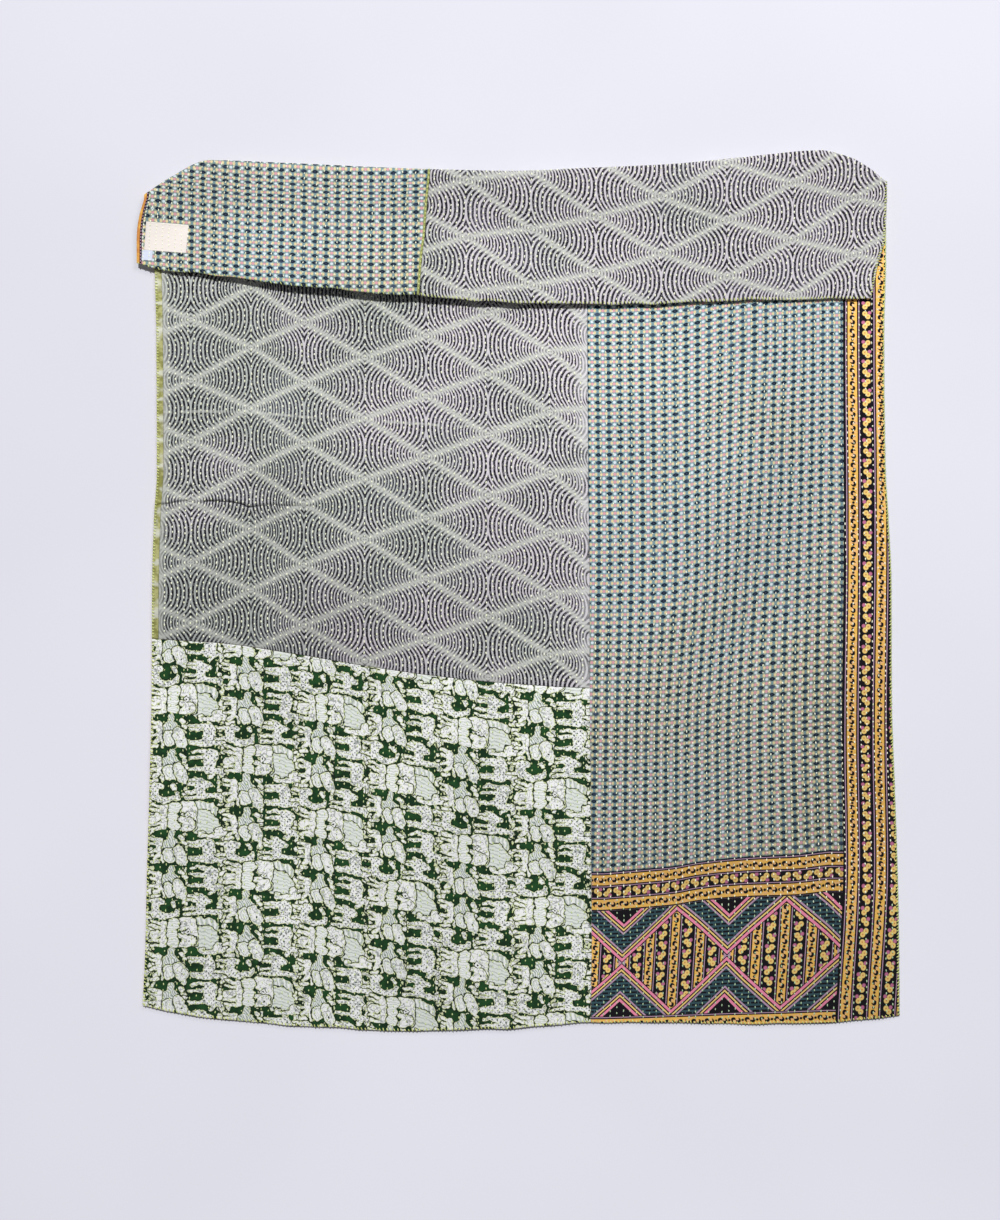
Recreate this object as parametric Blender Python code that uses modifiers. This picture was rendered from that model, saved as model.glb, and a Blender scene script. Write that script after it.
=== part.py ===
"""Kantha quilt, lying face up with its top edge folded over onto the front.

Two layers of cotton cloth are quilted together. The front has three panels and a narrow strip
along its left edge, and the reverse has two panels. Both layers follow one middle surface: it
runs up from the bottom hem, half a turn round the rolled top edge and back down the flap.
Metres, +Z up, with the underside on Z = 0 and the middle of the outline over the origin.
"""
import math
from collections import namedtuple

import bmesh
import bpy
from mathutils import Vector

# Driving dimensions, in metres.
LAYER = 0.0012            # thickness of each layer of cloth
GAP = 0.0003              # between the two layers, and between panels that share a seam
QUILT = 2 * LAYER + GAP   # the whole thickness
MIDDLE = QUILT / 2        # height of the middle surface over the underside
ROLL = 0.0065             # radius of the middle surface round the rolled top edge
AIR = 0.0030              # between the front and the flap that lies on it
SETTLE = 0.105            # run over which the flap comes down from the roll
LIFT_FROM = 0.35          # share of the flap, from the roll, that stays down before the hem lifts
WIDTH = 1.27              # mean width of the quilt
STRIP = 0.0115            # width of the edge strip
COLUMN = 0.052            # widest facet across the quilt

FRONT_SEAM = 0.592        # place of the upright seam on the front, as a share of the width
BACK_SEAM = 0.385         # place of the seam on the reverse

# Stretches of the middle surface, numbered from the bottom hem.
HEM, PANEL_SEAM, ROLL_START, ROLL_END, FLAP_HEM = range(5)
ROWS = {HEM: 8, PANEL_SEAM: 11, ROLL_START: 6, ROLL_END: 5}   # facets along each stretch

# The quilt at its sections, from the left edge to the right: heights of the bottom hem, of the
# seam between the two left panels, of the folded top and of the flap's hem, and the flap hem's lift.
Section = namedtuple("Section", "across hem seam fold flap_hem lift")
SECTIONS = (
    Section(0.000, -0.697, -0.080, 0.664, 0.548, 0.003),
    Section(0.035, -0.705, -0.083, 0.693, 0.538, 0.004),
    Section(0.088, -0.717, -0.087, 0.722, 0.531, 0.008),
    Section(0.200, -0.730, -0.107, 0.717, 0.513, 0.016),
    Section(0.300, -0.736, -0.128, 0.711, 0.501, 0.018),
    Section(BACK_SEAM, -0.7385, -0.143, 0.707, 0.493, 0.016),
    Section(0.490, -0.734, -0.156, 0.704, 0.484, 0.012),
    Section(FRONT_SEAM, -0.725, -0.163, 0.709, 0.479, 0.009),
    Section(0.700, -0.724, -0.165, 0.715, 0.480, 0.006),
    Section(0.800, -0.726, -0.165, 0.726, 0.486, 0.004),
    Section(0.911, -0.724, -0.165, 0.7385, 0.489, 0.003),
    Section(0.950, -0.720, -0.165, 0.727, 0.489, 0.003),
    Section(0.975, -0.717, -0.165, 0.710, 0.489, 0.003),
    Section(1.000, -0.714, -0.165, 0.684, 0.489, 0.003),
)

# Side edges of the front, from the bottom hem (0) to the folded top (1).
Edge = namedtuple("Edge", "run left right")
FRONT_EDGES = (
    Edge(0.00, -0.631, 0.6400),
    Edge(0.08, -0.626, 0.639),
    Edge(0.16, -0.624, 0.637),
    Edge(0.27, -0.619, 0.632),
    Edge(0.38, -0.616, 0.627),
    Edge(0.52, -0.615, 0.626),
    Edge(0.60, -0.612, 0.621),
    Edge(0.66, -0.607, 0.616),
    Edge(0.82, -0.608, 0.614),
    Edge(0.91, -0.611, 0.617),
    Edge(1.00, -0.627, 0.617),
)

# Side edges of the flap, from the folded top (0) to its hem (1).
FLAP_EDGES = (
    Edge(0.00, -0.627, 0.617),
    Edge(0.30, -0.636, 0.616),
    Edge(0.48, -0.639, 0.614),
    Edge(0.66, -0.6400, 0.604),
    Edge(1.00, -0.6400, 0.591),
)

# Soft swells where the quilt stands off the surface, each an oval with its crest along its length.
Swell = namedtuple("Swell", "name x y turn half_length half_width height")
SWELLS = (
    Swell("drag from the left corner", -0.37, 0.17, -74, 0.40, 0.13, 0.010),
    Swell("drag from the right corner", 0.30, 0.02, 62, 0.46, 0.14, 0.010),
    Swell("under the flap's middle", 0.05, 0.29, 4, 0.36, 0.15, 0.006),
    Swell("left hem wave", -0.41, -0.58, 96, 0.19, 0.09, 0.006),
    Swell("middle hem wave", 0.01, -0.60, 84, 0.17, 0.08, 0.005),
    Swell("right hem wave", 0.44, -0.58, 80, 0.20, 0.09, 0.006),
    Swell("right edge wave", 0.58, 0.22, 88, 0.15, 0.06, 0.004),
    Swell("left edge wave", -0.59, -0.33, 92, 0.18, 0.06, 0.005),
)

# Labels on the flap, flat plates that follow it: centre, turn in degrees, width and height.
Label = namedtuple("Label", "name x y turn width height")
LABELS = (
    Label("label", -0.5925, 0.5940, -3.0, 0.0710, 0.0480),
    Label("care_label", -0.6215, 0.5620, -3.5, 0.0180, 0.0172),
)
LABEL_THICK = 0.0004
LABEL_SEAT = 0.0004       # between a label and the flap under it
LABEL_FACET = 0.010       # widest facet of a label
LABEL_START = 0.060       # height from which a label is laid down

# Colour and roughness of each piece.
Finish = namedtuple("Finish", "colour roughness")
FINISHES = {
    "front_scallop": Finish((0.30, 0.30, 0.31), 0.92),
    "front_animals": Finish((0.45, 0.56, 0.42), 0.90),
    "front_dots": Finish((0.26, 0.34, 0.35), 0.90),
    "edge_strip": Finish((0.38, 0.40, 0.16), 0.90),
    "back_dots": Finish((0.25, 0.33, 0.34), 0.90),
    "back_scallop": Finish((0.31, 0.31, 0.32), 0.92),
    "label": Finish((0.80, 0.75, 0.68), 0.75),
    "care_label": Finish((0.82, 0.84, 0.90), 0.60),
}


def smooth(table, key, column, at):
    """One column of a table between its rows, on a curve that never overshoots a row."""
    keys = [getattr(row, key) for row in table]
    values = [getattr(row, column) for row in table]
    last = len(keys) - 1
    at = min(max(at, keys[0]), keys[last])
    low = max(i for i in range(last) if keys[i] <= at)

    def slope(i):
        return (values[i + 1] - values[i]) / (keys[i + 1] - keys[i])

    def tangent(i):
        if i in (0, last):
            return slope(min(i, last - 1))
        before, after = slope(i - 1), slope(i)
        return 2 * before * after / (before + after) if before * after > 0 else 0.0

    span = keys[low + 1] - keys[low]
    u = (at - keys[low]) / span
    return (
        values[low] * (2 * u**3 - 3 * u**2 + 1)
        + values[low + 1] * (3 * u**2 - 2 * u**3)
        + tangent(low) * span * (u**3 - 2 * u**2 + u)
        + tangent(low + 1) * span * (u**3 - u**2)
    )


def ease(u):
    """0 to 1, level at both ends."""
    u = min(max(u, 0.0), 1.0)
    return u * u * (3 - 2 * u)


def mix(a, b, u):
    return a + (b - a) * u


def swell(x, y):
    """Height of the swells over the flat sheet."""
    height = 0.0
    for s in SWELLS:
        c, d = math.cos(math.radians(s.turn)), math.sin(math.radians(s.turn))
        along = ((x - s.x) * c + (y - s.y) * d) / s.half_length
        off = ((y - s.y) * c - (x - s.x) * d) / s.half_width
        height += s.height * max(0.0, 1 - along**2 - off**2) ** 2
    return height


def side(edges, run, across):
    """X of a point across the sheet, between its two side edges."""
    return mix(smooth(edges, "run", "left", run), smooth(edges, "run", "right", run), across)


def flap_height(across, down, y, crest):
    """Height of the flap's middle surface, coming down from the roll and lifting at its hem."""
    top = MIDDLE + 2 * ROLL
    resting = MIDDLE + QUILT + AIR
    lift = smooth(SECTIONS, "across", "lift", across)
    return (
        mix(top, resting, ease((crest - y) / SETTLE))
        + lift * ease((down - LIFT_FROM) / (1 - LIFT_FROM))
    )


def place(across, along):
    """A point of the middle surface: across from 0 to 1, along from HEM to FLAP_HEM."""
    hem, seam, fold, flap_hem = (
        smooth(SECTIONS, "across", column, across) for column in ("hem", "seam", "fold", "flap_hem")
    )
    crest = fold - MIDDLE - ROLL      # the line about which the roll turns
    if along <= ROLL_START:
        y = mix(hem, seam, along) if along <= PANEL_SEAM else mix(seam, crest, along - PANEL_SEAM)
        x = side(FRONT_EDGES, (y - hem) / (fold - hem), across)
        z = MIDDLE
    elif along <= ROLL_END:
        turn = math.pi * (along - ROLL_START)
        x = side(FRONT_EDGES, 1, across)
        y = crest + ROLL * math.sin(turn)
        z = MIDDLE + ROLL * (1 - math.cos(turn))
    else:
        down = along - ROLL_END
        x = side(FLAP_EDGES, down, across)
        y = mix(crest, flap_hem, down)
        z = flap_height(across, down, y, crest)
    return Vector((x, y, z + swell(x, y)))


def facing(across, along):
    """The front's outward direction at a point of the middle surface."""
    step = 1e-4
    a0, a1 = max(across - step, 0), min(across + step, 1)
    b0, b1 = max(along - step, HEM), min(along + step, FLAP_HEM)
    over = place(a1, along) - place(a0, along)
    up = place(across, b1) - place(across, b0)
    return over.cross(up).normalized()


def column_stops():
    """Where facets meet across the sheet: at the edge strip, at each section and between them."""
    marks = sorted([s.across for s in SECTIONS] + [STRIP / WIDTH])
    stops = [marks[0]]
    for low, high in zip(marks, marks[1:]):
        count = max(1, round((high - low) * WIDTH / COLUMN))
        stops += [mix(low, high, (i + 1) / count) for i in range(count)]
    return stops


def row_stops():
    """Where facets meet along the sheet, from the bottom hem to the flap's hem."""
    stops = [float(HEM)]
    for start, count in ROWS.items():
        stops += [start + (i + 1) / count for i in range(count)]
    return stops


def within(stops, limits, inset):
    """The stops between two limits, pulled in by the inset where a limit is a seam."""
    low, high = limits
    chosen = [s for s in stops if low - 1e-6 <= s <= high + 1e-6]
    if low > stops[0]:
        chosen[0] += inset
    if high < stops[-1]:
        chosen[-1] -= inset
    return chosen


def grid_object(name, columns, rows, point, thickness, offset):
    """A grid laid through point(column, row) and given its thickness by a Solidify modifier."""
    grid = bmesh.new()
    across, along = len(columns) - 1, len(rows) - 1
    bmesh.ops.create_grid(grid, x_segments=across, y_segments=along, size=1)
    for v in grid.verts:
        column = round((v.co.x + 1) / 2 * across)
        row = round((v.co.y + 1) / 2 * along)
        v.co = point(columns[column], rows[row])
    bmesh.ops.triangulate(grid, faces=grid.faces[:], quad_method="FIXED")
    mesh = bpy.data.meshes.new(name)
    grid.to_mesh(mesh)
    grid.free()
    piece = bpy.data.objects.new(name, mesh)
    parts.objects.link(piece)
    shell = piece.modifiers.new("Thickness", "SOLIDIFY")
    shell.thickness = thickness
    shell.offset = offset
    piece.data.materials.append(cloth_material(name))
    return piece


def cloth_material(name):
    finish = FINISHES[name]
    material = bpy.data.materials.new(name)
    material.use_nodes = True
    shader = material.node_tree.nodes["Principled BSDF"]
    shader.inputs["Base Color"].default_value = (*finish.colour, 1)
    shader.inputs["Roughness"].default_value = finish.roughness
    shader.inputs["Metallic"].default_value = 0
    return material


def panel(name, across, along, layer):
    """One panel of cloth. The front layer (+1) lies over the middle surface, the reverse (-1) under it."""
    columns = within(column_stops(), across, GAP / 2 / WIDTH)
    rows = within(row_stops(), along, GAP)

    def point(column, row):
        return place(column, row) + layer * GAP / 2 * facing(column, row)

    return grid_object(name, columns, rows, point, LAYER, layer)


def label(shape, carrier):
    """A label laid on the flap, which it meets from straight above."""
    turn = math.radians(shape.turn)
    columns, rows = (
        [size * (i / count - 0.5) for i in range(count + 1)]
        for size, count in (
            (shape.width, math.ceil(shape.width / LABEL_FACET)),
            (shape.height, math.ceil(shape.height / LABEL_FACET)),
        )
    )

    def point(right, up):
        x = shape.x + right * math.cos(turn) - up * math.sin(turn)
        y = shape.y + right * math.sin(turn) + up * math.cos(turn)
        return Vector((x, y, LABEL_START))

    piece = grid_object(shape.name, columns, rows, point, LABEL_THICK, 1)
    seat = piece.modifiers.new("Seat", "SHRINKWRAP")
    seat.wrap_method = "PROJECT"
    seat.target = carrier
    seat.use_project_z = True
    seat.use_negative_direction = True
    seat.use_positive_direction = False
    seat.wrap_mode = "ABOVE_SURFACE"
    seat.offset = LABEL_SEAT
    piece.modifiers.move(1, 0)


for old in list(bpy.data.objects):
    bpy.data.objects.remove(old, do_unlink=True)
parts = bpy.data.collections.new("kantha_quilt")
bpy.context.scene.collection.children.link(parts)

strip_edge = STRIP / WIDTH
panel("front_scallop", (strip_edge, FRONT_SEAM), (PANEL_SEAM, FLAP_HEM), 1)
panel("front_animals", (0, FRONT_SEAM), (HEM, PANEL_SEAM), 1)
panel("front_dots", (FRONT_SEAM, 1), (HEM, FLAP_HEM), 1)
panel("edge_strip", (0, strip_edge), (PANEL_SEAM, FLAP_HEM), 1)
flap_end = panel("back_dots", (0, BACK_SEAM), (HEM, FLAP_HEM), -1)
panel("back_scallop", (BACK_SEAM, 1), (HEM, FLAP_HEM), -1)
for shape in LABELS:
    label(shape, flap_end)
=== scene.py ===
# %% [markdown]
# # A kantha quilt with its top edge folded over
#
# A kantha quilt is two layers of old cotton cloth held together by hundreds of rows of running
# stitch. This one lies face up. Its top edge is folded over, so that a strip of the reverse shows.
# The script starts from the fixed frame: one plain solid for each panel, strip and label. It keeps
# the frame's box, because nothing made here may change the quilt's size.

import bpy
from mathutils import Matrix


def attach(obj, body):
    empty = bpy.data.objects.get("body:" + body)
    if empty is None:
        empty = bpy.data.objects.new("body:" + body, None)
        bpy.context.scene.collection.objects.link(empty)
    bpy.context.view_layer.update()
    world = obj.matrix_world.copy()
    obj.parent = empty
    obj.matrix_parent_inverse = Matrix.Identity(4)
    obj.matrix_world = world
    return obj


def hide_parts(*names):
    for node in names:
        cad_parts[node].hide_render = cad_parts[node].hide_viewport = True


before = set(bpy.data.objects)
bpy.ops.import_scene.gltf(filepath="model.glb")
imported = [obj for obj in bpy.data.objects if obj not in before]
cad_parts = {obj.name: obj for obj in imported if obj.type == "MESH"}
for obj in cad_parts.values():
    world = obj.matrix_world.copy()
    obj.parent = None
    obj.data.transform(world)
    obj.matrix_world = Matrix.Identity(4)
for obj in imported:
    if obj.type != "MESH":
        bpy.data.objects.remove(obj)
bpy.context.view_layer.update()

# %% Tools used below
import math
from collections import namedtuple

import bmesh
import bpy
import numpy as np
from mathutils import Vector
from mathutils.bvhtree import BVHTree



def table(kind, rows):
    """Rows whose values have names."""
    return tuple(kind(*row) for row in rows)


print("pieces in the frame", sorted(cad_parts))

# %% [markdown]
# ## The camera, the floor and the light
#
# The quilt is looked at straight on, so the camera hangs over it and looks down, with the folded
# edge at the top of the view. A long lens keeps the flap from looking larger than the front.
# The standard view keeps pale floor pale and leaves the cloth's colours as they are mixed.

# %% Camera
VIEW_CENTRE = (-0.031, -0.032)   # the point under the camera
VIEW_HEIGHT = 2.050              # what the view takes in, from top to bottom
LENS, SENSOR = 0.085, 0.036

camera = bpy.data.objects.new("camera", bpy.data.cameras.new("camera"))
camera.data.lens = LENS * 1000
camera.data.sensor_width = SENSOR * 1000
camera.location = (*VIEW_CENTRE, VIEW_HEIGHT * LENS / SENSOR)
bpy.context.scene.collection.objects.link(camera)
bpy.context.scene.camera = camera
bpy.context.scene.view_settings.view_transform = "Standard"
print("camera height", round(camera.location.z, 3), "m")

# %% [markdown]
# Broad even light comes from behind the folded edge, so the roll, the hem of the flap and the long
# soft folds each get a lit and a shaded side. A lamp near that edge makes the top a little brighter,
# and a pale surround fills the shadows.

# %% Light
KEY_TURN, KEY_RISE, KEY_SPREAD = 10.0, 63.0, 3.0   # degrees
KEY_STRENGTH = 2.72
KEY_AWAY = 4.0            # metres; the key is a sun, so this changes nothing in the light
TOP_PLACE, TOP_AIM = Vector((0.6, 1.9, 2.3)), Vector((0.2, 0.3, 0.0))
TOP_SIZE, TOP_POWER = 1.2, 18.0
SURROUND = (0.93, 0.93, 1.00)
SURROUND_STRENGTH = 0.15


def aimed_light(name, kind, place, aim):
    """A lamp at one place that points at another."""
    light = bpy.data.lights.new(name, kind)
    holder = bpy.data.objects.new(name, light)
    holder.location = place
    holder.rotation_euler = (aim - place).to_track_quat("-Z", "Y").to_euler()
    bpy.context.scene.collection.objects.link(holder)
    return light


turn, rise = math.radians(KEY_TURN), math.radians(KEY_RISE)
key_from = Vector((-math.sin(turn) * math.cos(rise), math.cos(turn) * math.cos(rise), math.sin(rise)))
key = aimed_light("key", "SUN", key_from * KEY_AWAY, Vector())
key.energy = KEY_STRENGTH
key.angle = math.radians(KEY_SPREAD)
top = aimed_light("top_lamp", "AREA", TOP_PLACE, TOP_AIM)
top.shape = "DISK"
top.size = TOP_SIZE
top.energy = TOP_POWER
world = bpy.data.worlds.new("studio")
world.use_nodes = True
world.node_tree.nodes["Background"].inputs["Color"].default_value = (*SURROUND, 1)
world.node_tree.nodes["Background"].inputs["Strength"].default_value = SURROUND_STRENGTH
bpy.context.scene.world = world
print("key", KEY_STRENGTH, "top lamp", TOP_POWER, "surround", SURROUND_STRENGTH)

# %% [markdown]
# ## Shader maths as plain sums
#
# A print is worked out from where a point lies on the cloth. Written as nodes by hand, that is
# hundreds of boxes, so a small class wraps one socket: adding, multiplying or comparing its values
# adds the Math nodes. Anything that isn't a sum comes from its one method, node.


# %% A socket that can be added and multiplied
class Value:
    """One output socket of a node tree. Sums with it add Math nodes to the tree."""

    def __init__(self, tree, socket=None):
        self.tree = tree
        self.socket = socket

    def node(self, kind, settings=None, inputs=None, output=0):
        """Adds a node of any kind: its settings first, then the values or links of its sockets."""
        made = self.tree.nodes.new(kind)
        for name, setting in (settings or {}).items():
            setattr(made, name, setting)
        for key, value in (inputs or {}).items():
            if isinstance(value, Value):
                self.tree.links.new(value.socket, made.inputs[key])
            elif value is not None:
                socket = made.inputs[key]
                is_colour = socket.type == "RGBA" and len(value) == 3
                socket.default_value = (*value, 1) if is_colour else value
        return Value(self.tree, made.outputs[output])

    def math(self, operation, *others):
        return self.node("ShaderNodeMath", {"operation": operation}, dict(enumerate((self, *others))))

    def __add__(self, other):
        return self.math("ADD", other)

    __radd__ = __add__

    def __sub__(self, other):
        return self.math("SUBTRACT", other)

    def __rsub__(self, other):
        return self.node("ShaderNodeMath", {"operation": "SUBTRACT"}, {0: other, 1: self})

    def __mul__(self, other):
        return self.math("MULTIPLY", other)

    __rmul__ = __mul__

    def __truediv__(self, other):
        return self.math("DIVIDE", other)

    def __abs__(self):
        return self.math("ABSOLUTE")

    def __lt__(self, other):
        return self.math("LESS_THAN", other)

    def __gt__(self, other):
        return self.math("GREATER_THAN", other)

    def wave(self):
        """A cosine that repeats every whole number."""
        return (self * math.tau).math("COSINE")

    def part(self):
        """What is left over a whole number."""
        return self.math("FRACT")

    def whole(self):
        return self.math("FLOOR")

    def least(self, other):
        return self.math("MINIMUM", other)

    def most(self, other):
        return self.math("MAXIMUM", other)

    def rise(self, low, high):
        """0 below low, 1 above high and a soft step between. It falls where low is the larger."""
        return self.node(
            "ShaderNodeMapRange",
            {"interpolation_type": "SMOOTHSTEP", "clamp": False},
            {"Value": self, "From Min": low, "From Max": high},
        )

    def nearest(self, step):
        """How far the value is from the nearest multiple of a step, with its sign."""
        return (self / step + 0.5).part() * step - step / 2


# %% Helpers for places, colours and noise
def across_from(u, v):
    """The distance of a point whose two parts are given."""
    return (u * u + v * v).math("SQRT")


def parts(vector, count=3):
    """The separate parts of a vector."""
    return [vector.node("ShaderNodeSeparateXYZ", None, {0: vector}, output=i) for i in range(count)]


def blend(kind, start, share, ground, colour):
    """Two colours mixed. A Mix node's colours are its sockets 6 and 7, and its mixed colour is output 2."""
    settings = {"data_type": "RGBA", "blend_type": kind}
    return start.node("ShaderNodeMix", settings, {0: share, 6: ground, 7: colour}, output=2)


def dye(mask, ground, colour):
    """The ground with a colour laid over it where the mask is 1."""
    return blend("MIX", mask, mask, ground, colour)


def shade(colour, amount):
    """A colour made lighter or darker by an amount about 1."""
    grey = amount.node("ShaderNodeCombineColor", None, {0: amount, 1: amount, 2: amount})
    return blend("MULTIPLY", amount, 1.0, colour, grey)


def as_light(level):
    """Linear light from one display value of 0 to 255."""
    return ((level / 255 + 0.055) / 1.055) ** 2.4 if level > 10 else level / 255 / 12.92


def rgb(red, green, blue):
    """A dye named by its three display values, as linear light."""
    return as_light(red), as_light(green), as_light(blue)


def new_finish(name):
    """An empty material, its shader and the value from which its nodes are added."""
    material = bpy.data.materials.new(name)
    material.use_nodes = True
    shader = material.node_tree.nodes["Principled BSDF"]
    return material, shader, Value(material.node_tree)


def coordinates(paint, uv_map):
    """The two parts of a place on the cloth."""
    return parts(paint.node("ShaderNodeUVMap", {"uv_map": uv_map}), 2)


def vector_sum(operation, first, second, output=0):
    """A Vector Math node. Its output 1 is a number, for a length or a product."""
    return first.node("ShaderNodeVectorMath", {"operation": operation}, {0: first, 1: second}, output)


def seat(paint):
    """The place on the piece in metres: output 3, Object, of Texture Coordinate."""
    return paint.node("ShaderNodeTexCoord", output=3)


def noise(paint, scale, detail=2.0, stretch=(1, 1, 1)):
    """A cloudy value about 0.5 that stays in place on the piece."""
    spread = vector_sum("MULTIPLY", seat(paint), stretch)
    return paint.node("ShaderNodeTexNoise", None, {"Vector": spread, "Scale": scale, "Detail": detail})


def set_look(shader, colour, roughness, height=None, depth=1.0):
    """Joins a colour and a bump to a shader. The height is in units of depth, which is in metres."""
    links = shader.id_data.links
    links.new(colour.socket, shader.inputs["Base Color"])
    shader.inputs["Roughness"].default_value = roughness
    if height:
        settings = {"Strength": 1.0, "Distance": depth, "Height": height}
        bump = height.node("ShaderNodeBump", None, settings)
        links.new(bump.socket, shader.inputs["Normal"])


print("dye check: mid grey is", round(rgb(128, 128, 128)[0], 3))

# %% [markdown]
# The floor is a plain pale paper. Its colour drifts a little, as a real sweep of paper does.

# %% Floor
FLOOR_REACH = 7.0
FLOOR_LEVEL = -0.0006     # just under the lowest thread
PAPER = rgb(225, 225, 234)
PAPER_SHADE = rgb(221, 221, 230)
PAPER_CLOUD = 1.4         # clouds to the metre


def paper_finish():
    """Matt pale paper."""
    material, shader, paint = new_finish("pale_paper")
    mixed = dye(noise(paint, PAPER_CLOUD).rise(0.3, 0.7), PAPER, PAPER_SHADE)
    set_look(shader, mixed, roughness=0.9)
    return material


def grid_mesh(name, columns, rows, reach):
    """A flat grid of points about the origin, and the piece that holds it."""
    grid = bmesh.new()
    bmesh.ops.create_grid(grid, x_segments=columns - 1, y_segments=rows - 1, size=reach)
    mesh = bpy.data.meshes.new(name)
    grid.to_mesh(mesh)
    grid.free()
    piece = bpy.data.objects.new(name, mesh)
    bpy.context.scene.collection.objects.link(piece)
    return piece


floor = grid_mesh("floor", 3, 3, FLOOR_REACH)
for corner in floor.data.vertices:
    corner.co.z = FLOOR_LEVEL
floor.data.materials.append(paper_finish())
print("floor", 2 * FLOOR_REACH, "m wide")

# %% [markdown]
# ## How the quilt lies
#
# Both layers follow one middle surface. It runs up from the bottom hem, half a turn round the
# rolled top edge and back down the flap. Short tables give the quilt at a few sections, and a
# smooth curve goes through them. A cloth simulation would find folds of its own, but these folds
# are known, so the surface is worked out from them.

# %% Sizes of the fold, in metres
LAYER = 0.0012            # thickness of each layer of cloth
GAP = 0.0003              # between the two layers, and between panels that share a seam
QUILT = 2 * LAYER + GAP   # the whole thickness
MIDDLE = QUILT / 2        # height of the middle surface over the floor
ROLL = 0.0065             # radius of the middle surface round the rolled top edge
AIR = 0.0030              # between the front and the flap that lies on it
SETTLE = 0.105            # run over which the flap comes down from the roll
LIFT_FROM = 0.35          # share of the flap, from the roll, that stays down before the hem lifts
WIDTH = 1.27              # mean width of the quilt
HEM_WAVE = 0.0016         # how far the hems wander from their line
HEM_WAVES, FLAP_WAVES = 31, 37   # waves along the bottom hem and along the flap's
STRIP = 0.0115            # width of the edge strip
FRONT_SEAM = 0.592        # place of the upright seam on the front, as a share of the width
BACK_SEAM = 0.385         # place of the seam on the reverse
HEM, PANEL_SEAM, ROLL_START, ROLL_END, FLAP_HEM = range(5)   # marks along the cloth, in order

Section = namedtuple("Section", "across hem seam fold flap_hem lift")
SECTIONS = table(Section, [
    (0.000, -0.697, -0.080, 0.664, 0.548, 0.003),
    (0.035, -0.705, -0.083, 0.693, 0.538, 0.004),
    (0.088, -0.717, -0.087, 0.722, 0.531, 0.008),
    (0.200, -0.730, -0.107, 0.717, 0.513, 0.016),
    (0.300, -0.736, -0.128, 0.711, 0.501, 0.018),
    (BACK_SEAM, -0.7385, -0.143, 0.707, 0.493, 0.016),
    (0.490, -0.734, -0.156, 0.704, 0.484, 0.012),
    (FRONT_SEAM, -0.725, -0.163, 0.709, 0.479, 0.009),
    (0.700, -0.724, -0.165, 0.715, 0.480, 0.006),
    (0.800, -0.726, -0.165, 0.726, 0.486, 0.004),
    (0.911, -0.724, -0.165, 0.7385, 0.489, 0.003),
    (0.950, -0.720, -0.165, 0.727, 0.489, 0.003),
    (0.975, -0.717, -0.165, 0.710, 0.489, 0.003),
    (1.000, -0.714, -0.165, 0.684, 0.489, 0.003),
])
Edge = namedtuple("Edge", "run left right")
FRONT_EDGES = table(Edge, [   # from the bottom hem (0) to the folded top (1)
    (0.00, -0.631, 0.6400),
    (0.08, -0.626, 0.639),
    (0.16, -0.624, 0.637),
    (0.27, -0.619, 0.632),
    (0.38, -0.616, 0.627),
    (0.52, -0.615, 0.626),
    (0.60, -0.612, 0.621),
    (0.66, -0.607, 0.616),
    (0.82, -0.608, 0.614),
    (0.91, -0.611, 0.617),
    (1.00, -0.627, 0.617),
])
FLAP_EDGES = table(Edge, [   # from the folded top (0) to the flap's hem (1)
    (0.00, -0.627, 0.617),
    (0.30, -0.636, 0.616),
    (0.48, -0.639, 0.614),
    (0.66, -0.6400, 0.604),
    (1.00, -0.6400, 0.591),
])
print(len(SECTIONS), "sections,", len(FRONT_EDGES) + len(FLAP_EDGES), "places along the side edges")

# %% [markdown]
# Where the quilt was gripped and dragged it stands off the floor in long soft swells. Sharper
# creases run across the left side: a dark trough with a raised lip on each side of it, and pale
# ridges where the cloth has been folded before. Each is one row of a table.

# %% Swells and creases
Swell = namedtuple("Swell", "name x y turn half_length half_width height")
SWELLS = table(Swell, [
    ("drag from the left corner", -0.37, 0.17, -74, 0.40, 0.13, 0.010),
    ("drag from the right corner", 0.30, 0.02, 62, 0.46, 0.14, 0.010),
    ("under the flap's middle", 0.05, 0.29, 4, 0.36, 0.15, 0.006),
    ("left hem wave", -0.41, -0.58, 96, 0.19, 0.09, 0.006),
    ("middle hem wave", 0.01, -0.60, 84, 0.17, 0.08, 0.005),
    ("right hem wave", 0.44, -0.58, 80, 0.20, 0.09, 0.006),
    ("right edge wave", 0.58, 0.22, 88, 0.15, 0.06, 0.004),
    ("left edge wave", -0.59, -0.33, 92, 0.18, 0.06, 0.005),
])


def mix(a, b, u):
    return a + (b - a) * u


def ease(u):
    """0 to 1, level at both ends."""
    u = np.clip(u, 0.0, 1.0)
    return u * u * (3 - 2 * u)


def drift(seed, u, v):
    """A random value from -1 to 1 that changes smoothly over one unit, the same one for each seed."""
    tiles = 256
    table = np.random.default_rng(seed).uniform(-1, 1, (tiles + 1, tiles + 1))
    i, j = np.floor(u).astype(int), np.floor(v).astype(int)
    a, b = ease(u - i), ease(v - j)
    left, right = i % tiles, (i + 1) % tiles
    low, high = (mix(table[left, row % tiles], table[right, row % tiles], a) for row in (j, j + 1))
    return mix(low, high, b)


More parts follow.
